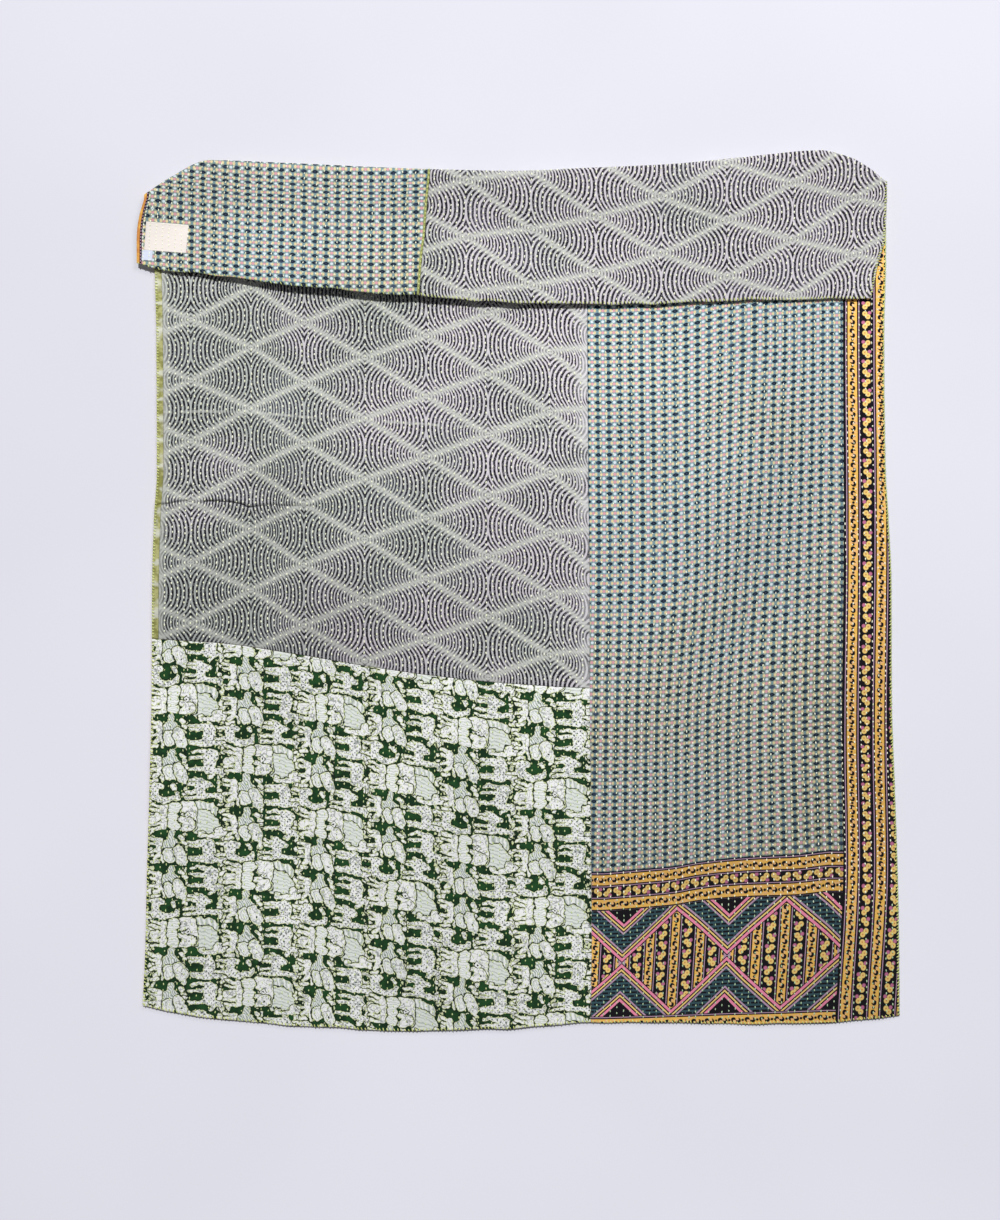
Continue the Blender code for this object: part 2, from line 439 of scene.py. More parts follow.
def smooth(table, key, column, at):
    """One column of a table between its rows, on a curve that never overshoots a row."""
    keys = np.array([getattr(row, key) for row in table])
    values = np.array([getattr(row, column) for row in table])
    spans = np.diff(keys)
    slopes = np.diff(values) / spans
    before, after = slopes[:-1], slopes[1:]
    level = before * after <= 0
    inner = np.where(level, 0.0, 2 * before * after / np.where(level, 1.0, before + after))
    tangents = np.concatenate((slopes[:1], inner, slopes[-1:]))
    at = np.clip(at, keys[0], keys[-1])
    low = np.clip(np.searchsorted(keys, at, side="right") - 1, 0, len(spans) - 1)
    u = (at - keys[low]) / spans[low]
    return (
        values[low] * (2 * u**3 - 3 * u**2 + 1)
        + values[low + 1] * (3 * u**2 - 2 * u**3)
        + tangents[low] * spans[low] * (u**3 - 2 * u**2 + u)
        + tangents[low + 1] * spans[low] * (u**3 - u**2)
    )


def swell(x, y):
    """Height of the swells over the flat sheet."""
    height = np.zeros_like(x)
    for s in SWELLS:
        c, d = math.cos(math.radians(s.turn)), math.sin(math.radians(s.turn))
        along = ((x - s.x) * c + (y - s.y) * d) / s.half_length
        off = ((y - s.y) * c - (x - s.x) * d) / s.half_width
        height += s.height * np.maximum(0.0, 1 - along**2 - off**2) ** 2
    return height


print(len(SWELLS), "swells, the tallest", max(s.height for s in SWELLS) * 1000, "mm")

# %% The middle surface
def side(edges, run, across):
    """X of a point across the sheet, between its two side edges."""
    return mix(smooth(edges, "run", "left", run), smooth(edges, "run", "right", run), across)


def flap_height(across, down, y, crest):
    """Height of the flap's middle surface, coming down from the roll and lifting at its hem."""
    top = MIDDLE + 2 * ROLL
    resting = MIDDLE + QUILT + AIR
    lift = smooth(SECTIONS, "across", "lift", across)
    return mix(top, resting, ease((crest - y) / SETTLE)) + lift * ease((down - LIFT_FROM) / (1 - LIFT_FROM))


def place(across, along):
    """Points of the middle surface: across from 0 to 1, along from HEM to FLAP_HEM."""
    hem, seam, fold, flap_hem = (
        smooth(SECTIONS, "across", column, across) for column in ("hem", "seam", "fold", "flap_hem")
    )
    hem = hem + HEM_WAVE * drift(42, across * HEM_WAVES, across * 0)
    flap_hem = flap_hem + HEM_WAVE * drift(41, across * FLAP_WAVES, across * 0)
    crest = fold - MIDDLE - ROLL      # the line about which the roll turns
    turn = math.pi * (along - ROLL_START)
    down = along - ROLL_END
    y_flat = np.where(along <= PANEL_SEAM, mix(hem, seam, along), mix(seam, crest, along - PANEL_SEAM))
    y_flap = mix(crest, flap_hem, down)
    stretch = [along <= ROLL_START, along <= ROLL_END]
    y = np.select(stretch, [y_flat, crest + ROLL * np.sin(turn)], y_flap)
    x = np.select(
        stretch,
        [side(FRONT_EDGES, (y_flat - hem) / (fold - hem), across), side(FRONT_EDGES, 1.0, across)],
        side(FLAP_EDGES, down, across),
    )
    z = np.select(
        stretch,
        [np.full_like(x, MIDDLE), MIDDLE + ROLL * (1 - np.cos(turn))],
        flap_height(across, down, y_flap, crest),
    )
    return np.stack((x, y, z + swell(x, y)), axis=-1)


def facing(across, along):
    """The front's outward direction at points of the middle surface."""
    step = 1e-4
    over = place(np.minimum(across + step, 1), along) - place(np.maximum(across - step, 0), along)
    up = place(across, np.minimum(along + step, FLAP_HEM)) - place(across, np.maximum(along - step, HEM))
    normal = np.cross(over, up)
    return normal / np.linalg.norm(normal, axis=-1, keepdims=True)


corner = place(np.array([0.0, 1.0]), np.array([0.0, 0.0]))
print("bottom corners", corner.round(3).tolist())

# %% [markdown]
# ## Rows of stitch, and what they do to the cloth
#
# The stitch rows run up the quilt about 11 mm apart. Each stitch pulls the cloth down and the cloth
# puffs up between them. The mesh has its columns on the rows and half way between them, and its
# cross lines at the middles and the ends of the stitches. So every low point and every puff is a
# real point of the mesh, without a mesh of millions of faces.

# %% Rows and pitches
ROW = 0.0110              # from one row of running stitch to the next
PITCH = 0.0103            # from one stitch to the next along its row
ROWS = round(WIDTH / ROW)
STITCH_STOPS = (0, 56, 136, 138, 160)   # stitches counted from the hem to the end of each stretch
STITCHES = STITCH_STOPS[FLAP_HEM]
PUFF = 0.0008             # how far the cloth puffs up between stitches
BY_ROW, BY_STITCH, BY_CHANCE = 0.45, 0.30, 0.40   # shares of a puff that come from each
FOOT = PUFF               # lifts the whole quilt, so that the puffs underneath stay over the floor
ROUND_IN = (0.0, 0.0004, 0.0012, 0.0026)   # closer columns where an edge is rounded
RIM = 0.00025             # thickness left at the very edge of a rounded layer
HEM_TURN, HEM_THICK = 0.0075, 0.0005       # the turned hem is thicker over this width

Stretch = namedtuple("Stretch", "start end step")   # closest at the dark trough and round the fold
FRONT_ROWS = (Stretch(0, 127, 0.5), Stretch(127, 136, 1.5), Stretch(136, 138, 0.2), Stretch(138, 160, 1))
CREASED_ROWS = (Stretch(0, 79, 0.5), Stretch(79, 82, 0.125), Stretch(82, 127, 0.5), *FRONT_ROWS[1:])
BACK_ROWS = (Stretch(0, 79, 1), Stretch(79, 83, 0.2), Stretch(83, 136, 1), Stretch(136, 138, 0.2),
             Stretch(138, 160, 0.5))


def stops(start, end, marks):
    """Marks between two limits, with closer ones where the edge at each limit is rounded."""
    clear = 2 * ROUND_IN[-1]
    inner = [m for m in marks if start + clear < m < end - clear]
    return [start + r for r in ROUND_IN] + inner + [end - r for r in reversed(ROUND_IN)]


def columns_between(start, end):
    """Shares of the width for the mesh's columns, from one side of a panel to the other."""
    marks = [k * WIDTH / (2 * ROWS) for k in range(2 * ROWS + 1)]
    return np.array(stops(start * WIDTH, end * WIDTH, marks)) / WIDTH


def rows_between(start, end, stretches):
    """Stitch counts for the mesh's cross lines, from one end of a panel to the other."""
    marks = []
    for s in stretches:
        marks += [s.start + k * s.step for k in range(round((s.end - s.start) / s.step))]
    inner = stops(start * PITCH, end * PITCH, [m * PITCH for m in marks])
    return np.array(inner) / PITCH


def starts_late(row):
    """1 where a row's stitches begin half a pitch later than its neighbour's."""
    return (np.rint(row) * 3 % 5 < 2).astype(float)


def puffs(across, stitch):
    """How far the cloth stands up, from 0 at a stitch to PUFF between the rows."""
    row = across * ROWS
    off_row = 0.5 - 0.5 * np.cos(math.tau * row)
    between = 0.5 - 0.5 * np.cos(math.tau * (stitch - 0.5 * starts_late(row)))
    uneven = 0.5 + 0.5 * drift(11, row * 1.03, stitch * 0.93)
    loose = 0.7 + 0.3 * drift(12, row / 9, stitch / 13)
    by_stitch = BY_STITCH * (1 - off_row / 2) * between
    return PUFF * loose * (BY_ROW * off_row + by_stitch + BY_CHANCE * uneven)


print(ROWS, "rows of stitch across,", STITCHES, "stitches along each")

# %% Ripples and creases
Crease = namedtuple("Crease", "name x y x_end y_end height half_width")
CREASES = table(Crease, [   # straight ones, most of them where the cloth was dragged
    ("drag down the middle", -0.330, 0.420, -0.250, 0.020, 0.0018, 0.0160),
    ("drag beside it", -0.292, 0.330, -0.215, -0.040, -0.0014, 0.0130),
    ("drag by the upright seam", 0.300, 0.300, 0.200, -0.060, 0.0016, 0.0150),
    ("drag down the right panel", 0.455, 0.330, 0.300, -0.150, 0.0018, 0.0170),
    ("drag to the lower right", 0.520, 0.100, 0.400, -0.380, 0.0014, 0.0150),
])
Pucker = namedtuple("Pucker", "y length")
PUCKERS = table(Pucker, [   # short ridges that cross the edge strip
    (0.482, 0.060),
    (0.438, 0.090),
    (0.366, 0.070),
    (0.323, 0.050),
    (0.289, 0.100),
    (0.252, 0.060),
    (0.210, 0.045),
    (0.096, 0.080),
    (0.049, 0.055),
    (0.013, 0.070),
    (-0.036, 0.110),
])
PUCKER_START, PUCKER_DROP = -0.622, 0.05          # where they begin, and how much they slant
PUCKER_HEIGHT, PUCKER_WIDE = 0.0017, 0.0038
for p in PUCKERS:
    ends = PUCKER_START, p.y, PUCKER_START + p.length, p.y - PUCKER_DROP * p.length
    CREASES += (Crease("pucker", *ends, PUCKER_HEIGHT, PUCKER_WIDE),)
Bend = namedtuple("Bend", "x y depth")
TROUGH = table(Bend, [   # the sharp dark fold that comes in from the left edge
    (-0.618, 0.1425, 0.40),
    (-0.588, 0.1470, 0.55),
    (-0.560, 0.1515, 0.45),
    (-0.535, 0.1475, 0.25),
    (-0.522, 0.1510, 0.80),
    (-0.490, 0.1506, 0.90),
    (-0.466, 0.1465, 1.00),
    (-0.451, 0.1410, 1.00),
    (-0.436, 0.1425, 0.60),
    (-0.400, 0.1430, 0.40),
    (-0.350, 0.1420, 0.20),
    (-0.300, 0.1400, 0.00),
])
OLD_FOLD = table(Bend, [   # a pale worn line where the quilt has been folded before
    (-0.616, 0.3000, 0.8),
    (-0.500, 0.3010, 1.0),
    (-0.380, 0.2930, 0.9),
    (-0.240, 0.2850, 0.7),
    (-0.100, 0.2760, 0.0),
])
Wrinkle = namedtuple("Wrinkle", "name path shift height half_width")
WRINKLES = table(Wrinkle, [
    ("dark trough", TROUGH, 0.0, -0.0044, 0.0015),
    ("lip above it", TROUGH, 0.0050, 0.0034, 0.0040),
    ("lip below it", TROUGH, -0.0050, 0.0026, 0.0044),
    ("old fold", OLD_FOLD, 0.0, 0.0020, 0.0045),
])
RIPPLE = 0.0011           # height of the loose ripples all over the quilt
CREASE_STRAY, WRINKLE_STRAY = 0.0022, 0.0006      # how far creases and wrinkles wander from their line


def from_path(path, x, y):
    """Distance up the quilt from a wrinkle's path, and how deep the wrinkle is there."""
    off = y - smooth(path, "x", "y", x) + WRINKLE_STRAY * drift(31, x / 0.012, y / 0.3)
    return off, smooth(path, "x", "depth", x)


def creases(x, y):
    """Height of the creases and wrinkles, which fade towards their ends."""
    height = np.zeros_like(x)
    for c in CREASES:
        over, up = c.x_end - c.x, c.y_end - c.y
        length = math.hypot(over, up)
        run = ((x - c.x) * over + (y - c.y) * up) / length**2
        off = ((y - c.y) * over - (x - c.x) * up) / length
        off += CREASE_STRAY * drift(31, x / 0.030, y / 0.3)
        ends = ease((run + 0.02) / 0.12) * ease((1 - run) / 0.35)
        height += c.height * ends * np.exp(-((off / c.half_width) ** 2))
    for w in WRINKLES:
        off, depth = from_path(w.path, x, y)
        height += w.height * depth * np.exp(-(((off - w.shift) / w.half_width) ** 2))
    return height


def relief(x, y):
    """What the folds add to the swells. It never goes below the floor."""
    loose = 1 + drift(21, x / 0.085 + 0.3 * y / 0.085, y / 0.200)
    fine = 0.35 * (1 + drift(22, x / 0.024, y / 0.060)) + 0.30 * (1 + drift(23, x / 0.050, y / 0.021))
    return FOOT + np.maximum(RIPPLE * (loose + fine) + creases(x, y), 0.0)


print(len(CREASES) + len(WRINKLES), "creases; a loose ripple stands up to", RIPPLE * 2000, "mm")

# %% [markdown]
# ## A panel of cloth
#
# Each panel is a closed shell. A flat grid is made with a modelling operation, given its second skin
# by Solidify, and then both skins are seated on the quilt's surface. The skin that shows gets the
# puffs, and its borders are rounded down to the other layer, so seams and hems look turned in.
#
# Two maps go with each panel. "Cloth" gives the place among the stitches, and "Print" gives the
# place in the panel's own print, which follows the cloth where it was pulled out of square. A third
# set of values, "Folds", says how far a point is from the dark trough and from the old worn fold.
# "shows" marks the faces of the skin that can be seen, because only those are sewn later.

# %% The six panels
Panel = namedtuple("Panel", "name across along layer stretches")   # layer: 1 front, -1 reverse
PANELS = table(Panel, [
    ("front_scallop", (STRIP / WIDTH, FRONT_SEAM), (PANEL_SEAM, FLAP_HEM), 1, CREASED_ROWS),
    ("front_animals", (0, FRONT_SEAM), (HEM, PANEL_SEAM), 1, FRONT_ROWS),
    ("front_dots", (FRONT_SEAM, 1), (HEM, FLAP_HEM), 1, FRONT_ROWS),
    ("edge_strip", (0, STRIP / WIDTH), (PANEL_SEAM, FLAP_HEM), 1, CREASED_ROWS),
    ("back_dots", (0, BACK_SEAM), (HEM, FLAP_HEM), -1, BACK_ROWS),
    ("back_scallop", (BACK_SEAM, 1), (HEM, FLAP_HEM), -1, BACK_ROWS),
])
print(len(PANELS), "panels")

# %% Where the points of a panel lie
Laid = namedtuple("Laid", "across stitch middle outward run")
ROUNDED = LAYER + 0.0004  # how far in from its border a layer is rounded
HEM_STEP, PUFF_FADE = 0.003, 0.004   # where the hem's thickness ends, and the puffs beside a border


def lay(across, stitch, layer):
    """The middle surface and its outward side at places on the cloth.

    run is the distance along the cloth: it is Y where the print shows, and goes on over the fold."""
    along = np.interp(stitch, STITCH_STOPS, range(len(STITCH_STOPS)))
    middle = place(across, along)
    crest = smooth(SECTIONS, "across", "fold", across) - MIDDLE - ROLL
    turned = math.pi * np.clip(along - ROLL_START, 0, 1) * ROLL
    front_run = np.where(along <= ROLL_START, middle[..., 1], crest + turned)
    front_run = np.where(along > ROLL_END, crest + turned + crest - middle[..., 1], front_run)
    run = front_run if layer > 0 else 2 * crest + math.pi * ROLL - front_run
    middle[..., 2] += relief(middle[..., 0], middle[..., 1])
    return Laid(across, stitch, middle, facing(across, along) * layer, run)


def edge_depth(at, start, end, unit):
    """Distance in metres to the nearer of two limits."""
    return np.minimum(at - start, end - at) * unit


def hem_depth(across, stitch):
    """Distance in metres to the nearest outer edge of the quilt."""
    return np.minimum(edge_depth(across, 0, 1, WIDTH), edge_depth(stitch, 0, STITCHES, PITCH))


def outer_offset(panel, laid):
    """How far the visible skin stands from the middle surface."""
    start, end = (STITCH_STOPS[a] for a in panel.along)
    depth = np.minimum(
        edge_depth(laid.across, *panel.across, WIDTH), edge_depth(laid.stitch, start, end, PITCH)
    )
    rounded = np.sqrt(1 - (1 - np.clip(depth / ROUNDED, 0, 1)) ** 2)
    hem = HEM_THICK * ease((HEM_TURN - hem_depth(laid.across, laid.stitch)) / HEM_STEP)
    puff = puffs(laid.across, laid.stitch) * ease(depth / PUFF_FADE)
    return GAP / 2 + RIM + (LAYER - RIM + hem) * rounded + puff


# %% A closed shell with its maps
def keep_result(piece):
    """Puts what a piece's modifier makes in place of its mesh, and takes the modifier away."""
    bpy.context.view_layer.update()
    evaluated = piece.evaluated_get(bpy.context.evaluated_depsgraph_get())
    made, before = bpy.data.meshes.new_from_object(evaluated), piece.data
    piece.modifiers.clear()
    piece.data = made
    bpy.data.meshes.remove(before)
    made.name = piece.name
    made.calc_loop_triangles()
    print(piece.name, len(made.vertices), "points,", len(made.loop_triangles), "triangles")


def shell(name, columns, rows):
    """A flat grid with two skins and a rim. Both skins are moved to their places later."""
    piece = grid_mesh(name, columns, rows, 1)
    skin = piece.modifiers.new("second skin", "SOLIDIFY")
    skin.thickness = 0.01
    skin.offset = -1
    keep_result(piece)
    return piece


def grid_places(mesh, columns, rows):
    """The column and row of the grid that each point of the first skin stands on."""
    count = columns * rows
    flat = np.empty(len(mesh.vertices) * 3)
    mesh.vertices.foreach_get("co", flat)
    flat = flat.reshape(-1, 3)[:count]
    column = np.rint((flat[:, 0] + 1) / 2 * (columns - 1)).astype(int)
    row = np.rint((flat[:, 1] + 1) / 2 * (rows - 1)).astype(int)
    return column, row


def add_map(mesh, name, places):
    """A UV map from one place for each point of the mesh."""
    corners = np.empty(len(mesh.loops), dtype=np.int32)
    mesh.loops.foreach_get("vertex_index", corners)
    mesh.uv_layers.new(name=name).data.foreach_set("uv", places[corners].astype(np.float32).ravel())


def set_skins(mesh, outside, inside):
    """Moves the first skin's points and then the second's to their places."""
    mesh.vertices.foreach_set("co", np.concatenate((outside, inside)).astype(np.float32).ravel())
    mesh.shade_smooth()
    mesh.update()


def make_panel(panel, print_place):
    """The closed shell of one panel, seated on the quilt, with its maps."""
    pull = GAP / 2 / WIDTH
    start, end = panel.across
    start, end = start + pull * (start > 0), end - pull * (end < 1)
    first, last = (STITCH_STOPS[a] for a in panel.along)
    first, last = first + GAP / PITCH * (first > 0), last - GAP / PITCH * (last < STITCHES)
    columns = columns_between(start, end)
    rows = rows_between(first, last, panel.stretches)
    piece = shell(panel.name + "_cloth", len(columns), len(rows))
    mesh = piece.data
    column, row = grid_places(mesh, len(columns), len(rows))
    laid = lay(columns[column], rows[row], panel.layer)
    outside = laid.middle + laid.outward * outer_offset(panel, laid)[:, None]
    inside = laid.middle + laid.outward * GAP / 2
    set_skins(mesh, outside, inside)
    if panel.layer < 0:
        mesh.flip_normals()
    shows = mesh.attributes.new("shows", "BOOLEAN", "FACE")
    first_skin = (len(columns) - 1) * (len(rows) - 1)
    shows.data.foreach_set("value", np.arange(len(mesh.polygons)) < first_skin)
    x, y = laid.middle[..., 0], laid.middle[..., 1]
    from_trough, trough_depth = from_path(TROUGH, x, y)
    from_fold, _ = from_path(OLD_FOLD, x, y)
    folds = mesh.attributes.new("Folds", "FLOAT_VECTOR", "POINT")
    marks = np.tile(np.stack((from_trough, from_fold, trough_depth), -1), (2, 1))
    folds.data.foreach_set("vector", marks.astype(np.float32).ravel())
    add_map(mesh, "Cloth", np.tile(np.stack((laid.across, laid.stitch / STITCHES), -1), (2, 1)))
    add_map(mesh, "Print", np.tile(np.stack(print_place(laid), -1), (2, 1)))
    return piece


# %% [markdown]
# ## Where each print lies
#
# The prints were pulled out of square when the panels were cut and quilted. For each panel a small
# table says where a few of its columns stand and how far its rows rise or drop, and a smooth
# curve goes through them.

# %% The arc print's columns
ArcColumn = namedtuple("ArcColumn", "x number drop")
FRONT_ARCS = table(ArcColumn, [
    (-0.651, -1, -0.002),
    (-0.550, 0, 0.0000),
    (-0.449, 1, -0.0040),
    (-0.3595, 2, 0.0042),
    (-0.258, 3, 0.0128),
    (-0.155, 4, 0.0269),
    (-0.051, 5, 0.0403),
    (0.053, 6, 0.0538),
    (0.117, 6.62, 0.0790),
])
BACK_ARCS = table(ArcColumn, [
    (-0.197, -1, -0.012),
    (-0.088, 0, 0.0000),
    (0.021, 1, 0.0327),
    (0.130, 2, 0.0588),
    (0.239, 3, 0.0739),
    (0.349, 4, 0.0655),
    (0.4595, 5, 0.0504),
    (0.562, 6, 0.0286),
    (0.665, 7, 0.0100),
])
ARC_COLUMN = 0.1015       # between columns of arc centres
FRONT_ARC_ROW, BACK_ARC_ROW = 0.1018, 0.0949   # between centres in one column
FRONT_ARC_START, BACK_ARC_START = 0.4553, 0.6871


def arc_place(laid, columns, row, start):
    """The place in the arc print, counted in columns and rows of arc centres."""
    x = laid.middle[..., 0]
    drop = smooth(columns, "x", "drop", x)
    return smooth(columns, "x", "number", x), (laid.run + drop - start) / row


def front_arc_place(laid):
    return arc_place(laid, FRONT_ARCS, FRONT_ARC_ROW, FRONT_ARC_START)


def back_arc_place(laid):
    return arc_place(laid, BACK_ARCS, BACK_ARC_ROW, BACK_ARC_START)


print("arc centres", ARC_COLUMN * 1000, "mm apart across")

# %% The dotted print's columns and rows
DOT_WIDE, DOT_HIGH = 0.01806, 0.01267      # one repeat of the dotted print
DOTS_TO_BORDER = 23.3                      # repeats from the first column to the side border
DotColumns = namedtuple("DotColumns", "y first eighth fifteenth last border")
DOT_COLUMNS = table(DotColumns, [
    (-0.7123, 0.1285, 0.2500, 0.3738, 0.5099, 0.5344),
    (-0.4519, 0.1420, 0.2634, 0.3872, 0.5233, 0.5478),
    (-0.2503, 0.1470, 0.2651, 0.3861, 0.5183, 0.5452),
    (0.0739, 0.1532, 0.2826, 0.4007, 0.5233, 0.5485),
    (0.4015, 0.1504, 0.2814, 0.4153, 0.5267, 0.5468),
])
DotRise = namedtuple("DotRise", "x upper middle lower")
DOT_RISES = table(DotRise, [
    (0.145, 0.0000, 0.0000, 0.0000),
    (0.204, 0.0017, 0.0050, 0.0017),
    (0.258, 0.0050, 0.0101, 0.0034),
    (0.305, 0.0118, 0.0185, 0.0050),
    (0.355, 0.0218, 0.0235, 0.0067),
    (0.406, 0.0302, 0.0260, 0.0084),
    (0.461, 0.0353, 0.0277, 0.0100),
    (0.520, 0.0420, 0.0336, 0.0118),
])
UPPER_FROM, MIDDLE_AT, LOWER_AT = -0.350, -0.490, -0.709   # where each column of rises holds
DotRow = namedtuple("DotRow", "y count")
DOT_ROWS = table(DotRow, [
    (-0.4738, 75.2),     # the line at the top of the lower border
    (-0.4586, 74.0),
    (-0.2369, 55.5),
    (0.0084, 37.0),
    (0.2503, 18.5),
    (0.4788, 0.0),
    (0.9000, -33.2),
])
LOWER_BORDER = DOT_ROWS[0]


def front_dot_place(laid):
    """Metres to the right of the side border's line, and metres above the lower border's line."""
    x, y = laid.middle[..., 0], laid.run
    counts = (1, 8, 15, 22, DOTS_TO_BORDER)     # which column of dots each column of the table is
    stands = [smooth(DOT_COLUMNS, "y", name, y) for name in DotColumns._fields[1:]]
    across = (counts[0] - DOTS_TO_BORDER) * DOT_WIDE + (x - stands[0])
    for i in range(len(counts) - 1):
        share = (x - stands[i]) / (stands[i + 1] - stands[i])
        here = (mix(counts[i], counts[i + 1], share) - DOTS_TO_BORDER) * DOT_WIDE
        across = np.where(share >= 0, here, across)
    across = np.where(x > stands[-1], x - stands[-1], across)
    upper, middle, lower = (smooth(DOT_RISES, "x", name, x) for name in DotRise._fields[1:])
    rise = mix(middle, upper, ease((y - MIDDLE_AT) / (UPPER_FROM - MIDDLE_AT)))
    below = mix(middle, lower, np.clip((MIDDLE_AT - y) / (MIDDLE_AT - LOWER_AT), 0, 1))
    rise = np.where(y < MIDDLE_AT, below, rise)
    level = y - rise
    rows = [row.y for row in DOT_ROWS]
    above = (LOWER_BORDER.count - np.interp(level, rows, [row.count for row in DOT_ROWS])) * DOT_HIGH
    return across, np.where(level < LOWER_BORDER.y, level - LOWER_BORDER.y, above)


BACK_DOT_WIDE = 0.01877
BACK_DOT_START = -0.5284
BackDrop = namedtuple("BackDrop", "x drop")
BACK_DROPS = table(BackDrop, [
    (-0.640, -0.0090),
    (-0.528, 0.0000),
    (-0.454, 0.0059),
    (-0.380, 0.0092),
    (-0.303, 0.0134),
    (-0.229, 0.0143),
    (-0.170, 0.0120),
])
BACK_DOT_ROWS = table(DotRow, [
    (0.5477, 13),
    (0.6082, 8),
    (0.6602, 4),
    (0.7006, 0),
    (1.0000, -23.6),
])


def back_dot_place(laid):
    """Metres across and along in the dotted print on the reverse."""
    x = laid.middle[..., 0]
    level = laid.run + smooth(BACK_DROPS, "x", "drop", x)
    count = np.interp(level, [row.y for row in BACK_DOT_ROWS], [row.count for row in BACK_DOT_ROWS])
    lowest = BACK_DOT_ROWS[0]
    beyond = lowest.count + (lowest.y - level) / DOT_HIGH
    count = np.where(level < lowest.y, beyond, count)
    return (x - BACK_DOT_START) / BACK_DOT_WIDE * DOT_WIDE, -count * DOT_HIGH


AnimalColumn = namedtuple("AnimalColumn", "x number start")
ANIMAL_COLUMNS = table(AnimalColumn, [   # columns of the animal print, which runs down the quilt
    (-0.6550, 0, -0.1165),
    (-0.5317, 1, -0.1171),
    (-0.4041, 2, -0.1210),
    (-0.2856, 3, -0.1373),
    (-0.1655, 4, -0.1579),
    (-0.0428, 5, -0.1759),
    (0.0865, 6, -0.1798),
    (0.2150, 7, -0.1830),
])


def animal_place(laid):
    """Metres down the quilt from a column's start, and columns across it."""
    x = laid.middle[..., 0]
    return smooth(ANIMAL_COLUMNS, "x", "start", x) - laid.run, smooth(ANIMAL_COLUMNS, "x", "number", x)


def plain_place(laid):
    """Metres across and up, for the plain strip."""
    return laid.middle[..., 0], laid.run


PRINT_PLACES = {
    "front_scallop": front_arc_place,
    "front_animals": animal_place,
    "front_dots": front_dot_place,
    "edge_strip": plain_place,
    "back_dots": back_dot_place,
    "back_scallop": back_arc_place,
}
print("one repeat of the dots", DOT_WIDE * 1000, "x", DOT_HIGH * 1000, "mm")

# %% Make the six panels
panels = {panel.name: make_panel(panel, PRINT_PLACES[panel.name]) for panel in PANELS}

# %% [markdown]
# ## The cloth itself
#
# Old sari and shirting cotton: matt, with a fine uneven weave. The puffs are in the mesh already,
# so bump adds what is smaller: the dimple beside each stitch and the slubs of the yarn.

# %% Bump and painted shade shared by all the cotton
SLUB, CRUMPLE = 0.0016, 0.006                # size of a thick place in the yarn, and of a crumple
SLUB_HIGH, CRUMPLE_HIGH, DIMPLE = 0.00022, 0.00085, 0.00030


def cotton_relief(paint):
    """Stitch dimples, slubs and crumples in metres of height, and how thick the yarn is."""
    across, along = coordinates(paint, "Cloth")
    row, stitch = across * ROWS, along * STITCHES
    late = ((row + 0.5).whole() * 3).math("MODULO", 5.0) < 2
    dimple = (row.wave() * 0.5 + 0.5) * ((stitch - late * 0.5).wave() * 0.5 + 0.5)
    warp = noise(paint, 1 / SLUB, 2.0, (1.0, 0.16, 1.0))
    weft = noise(paint, 1 / SLUB, 2.0, (0.16, 1.0, 1.0))
    crumple = noise(paint, 1 / CRUMPLE, 3.0)
    yarn = warp + weft
    return yarn * SLUB_HIGH + crumple * CRUMPLE_HIGH - dimple * DIMPLE, yarn


LIGHTEST_ACROSS = 0.60             # share of the width where the painted shade across the quilt is lightest
PAINTED_LIGHT_START, PAINTED_LIGHT_END = -0.35, 1.05          # shares of the length over which the painted light grows from the hem to the fold
CLOUD, CLOUD_DEPTH = 3.2, 0.34              # clouds to the metre, and how much they darken and lighten the cloth, partly as painted shade of soft drapes
YARN_SHADE = 0.16
# Painted light: the brightness at the hem and at the fold, and how much darker the painted shade makes the
# cloth for each share of the width away from the lightest place.
PaintedShade = namedtuple("PaintedShade", "low high to_sides patches", defaults=(0.66, 1.12, 0.20, ()))
Patch = namedtuple("Patch", "x y half_wide half_high amount")
PAINTED_LIGHT_PATCHES = table(Patch, [   # painted shade where the cloth sags, and painted light where it catches the light
    (-0.308, -0.049, 0.15, 0.12, -0.11),
    (-0.392, 0.153, 0.12, 0.09, -0.08),
    (-0.031, 0.220, 0.24, 0.11, 0.08),
    (0.414, 0.102, 0.14, 0.32, -0.06),
    (-0.031, 0.489, 0.20, 0.08, -0.09),
    (0.271, 0.380, 0.13, 0.14, 0.08),
    (-0.384, 0.338, 0.15, 0.12, 0.08),
    (-0.050, -0.025, 0.17, 0.10, -0.06),
])


def with_painted_shade(paint, colour, painted_shade):
    """Painted shade and light: darker towards the bottom hem and the sides, paler towards the fold, in soft
    clouds and patches.
    """
    across, along = coordinates(paint, "Cloth")
    cloud = noise(paint, CLOUD, 3.0) - 0.5
    sides = abs(across - LIGHTEST_ACROSS) * painted_shade.to_sides
    # painted light: brighter towards the fold, darker towards the hem and the sides, as the light falls
    fade = along.rise(PAINTED_LIGHT_START, PAINTED_LIGHT_END) * (painted_shade.high - painted_shade.low) + painted_shade.low
    amount = fade + cloud * CLOUD_DEPTH - sides
    if painted_shade.patches:
        x, y = parts(seat(paint), 2)
    # painted shade in soft patches where the cloth sags, painted light where it catches the light
    for patch in painted_shade.patches:
        off = across_from((x - patch.x) * (1 / patch.half_wide), (y - patch.y) * (1 / patch.half_high))
        amount = amount + off.rise(1.0, 0.0) * patch.amount
    return shade(colour, amount)


def finish_cotton(name, paint_print, painted_shade):
    """A cotton material whose colour comes from a function."""
    material, shader, paint = new_finish(name)
    height, yarn = cotton_relief(paint)
    # painted light and shade laid over the print
    colour = with_painted_shade(paint, paint_print(paint), painted_shade)
    colour = shade(colour, (yarn - 1.0) * YARN_SHADE + 1.0)
    set_look(shader, colour, 0.92, height)
    shader.inputs["Specular IOR Level"].default_value = 0.25
    return material


print("soft patches", [patch.amount for patch in PAINTED_LIGHT_PATCHES])

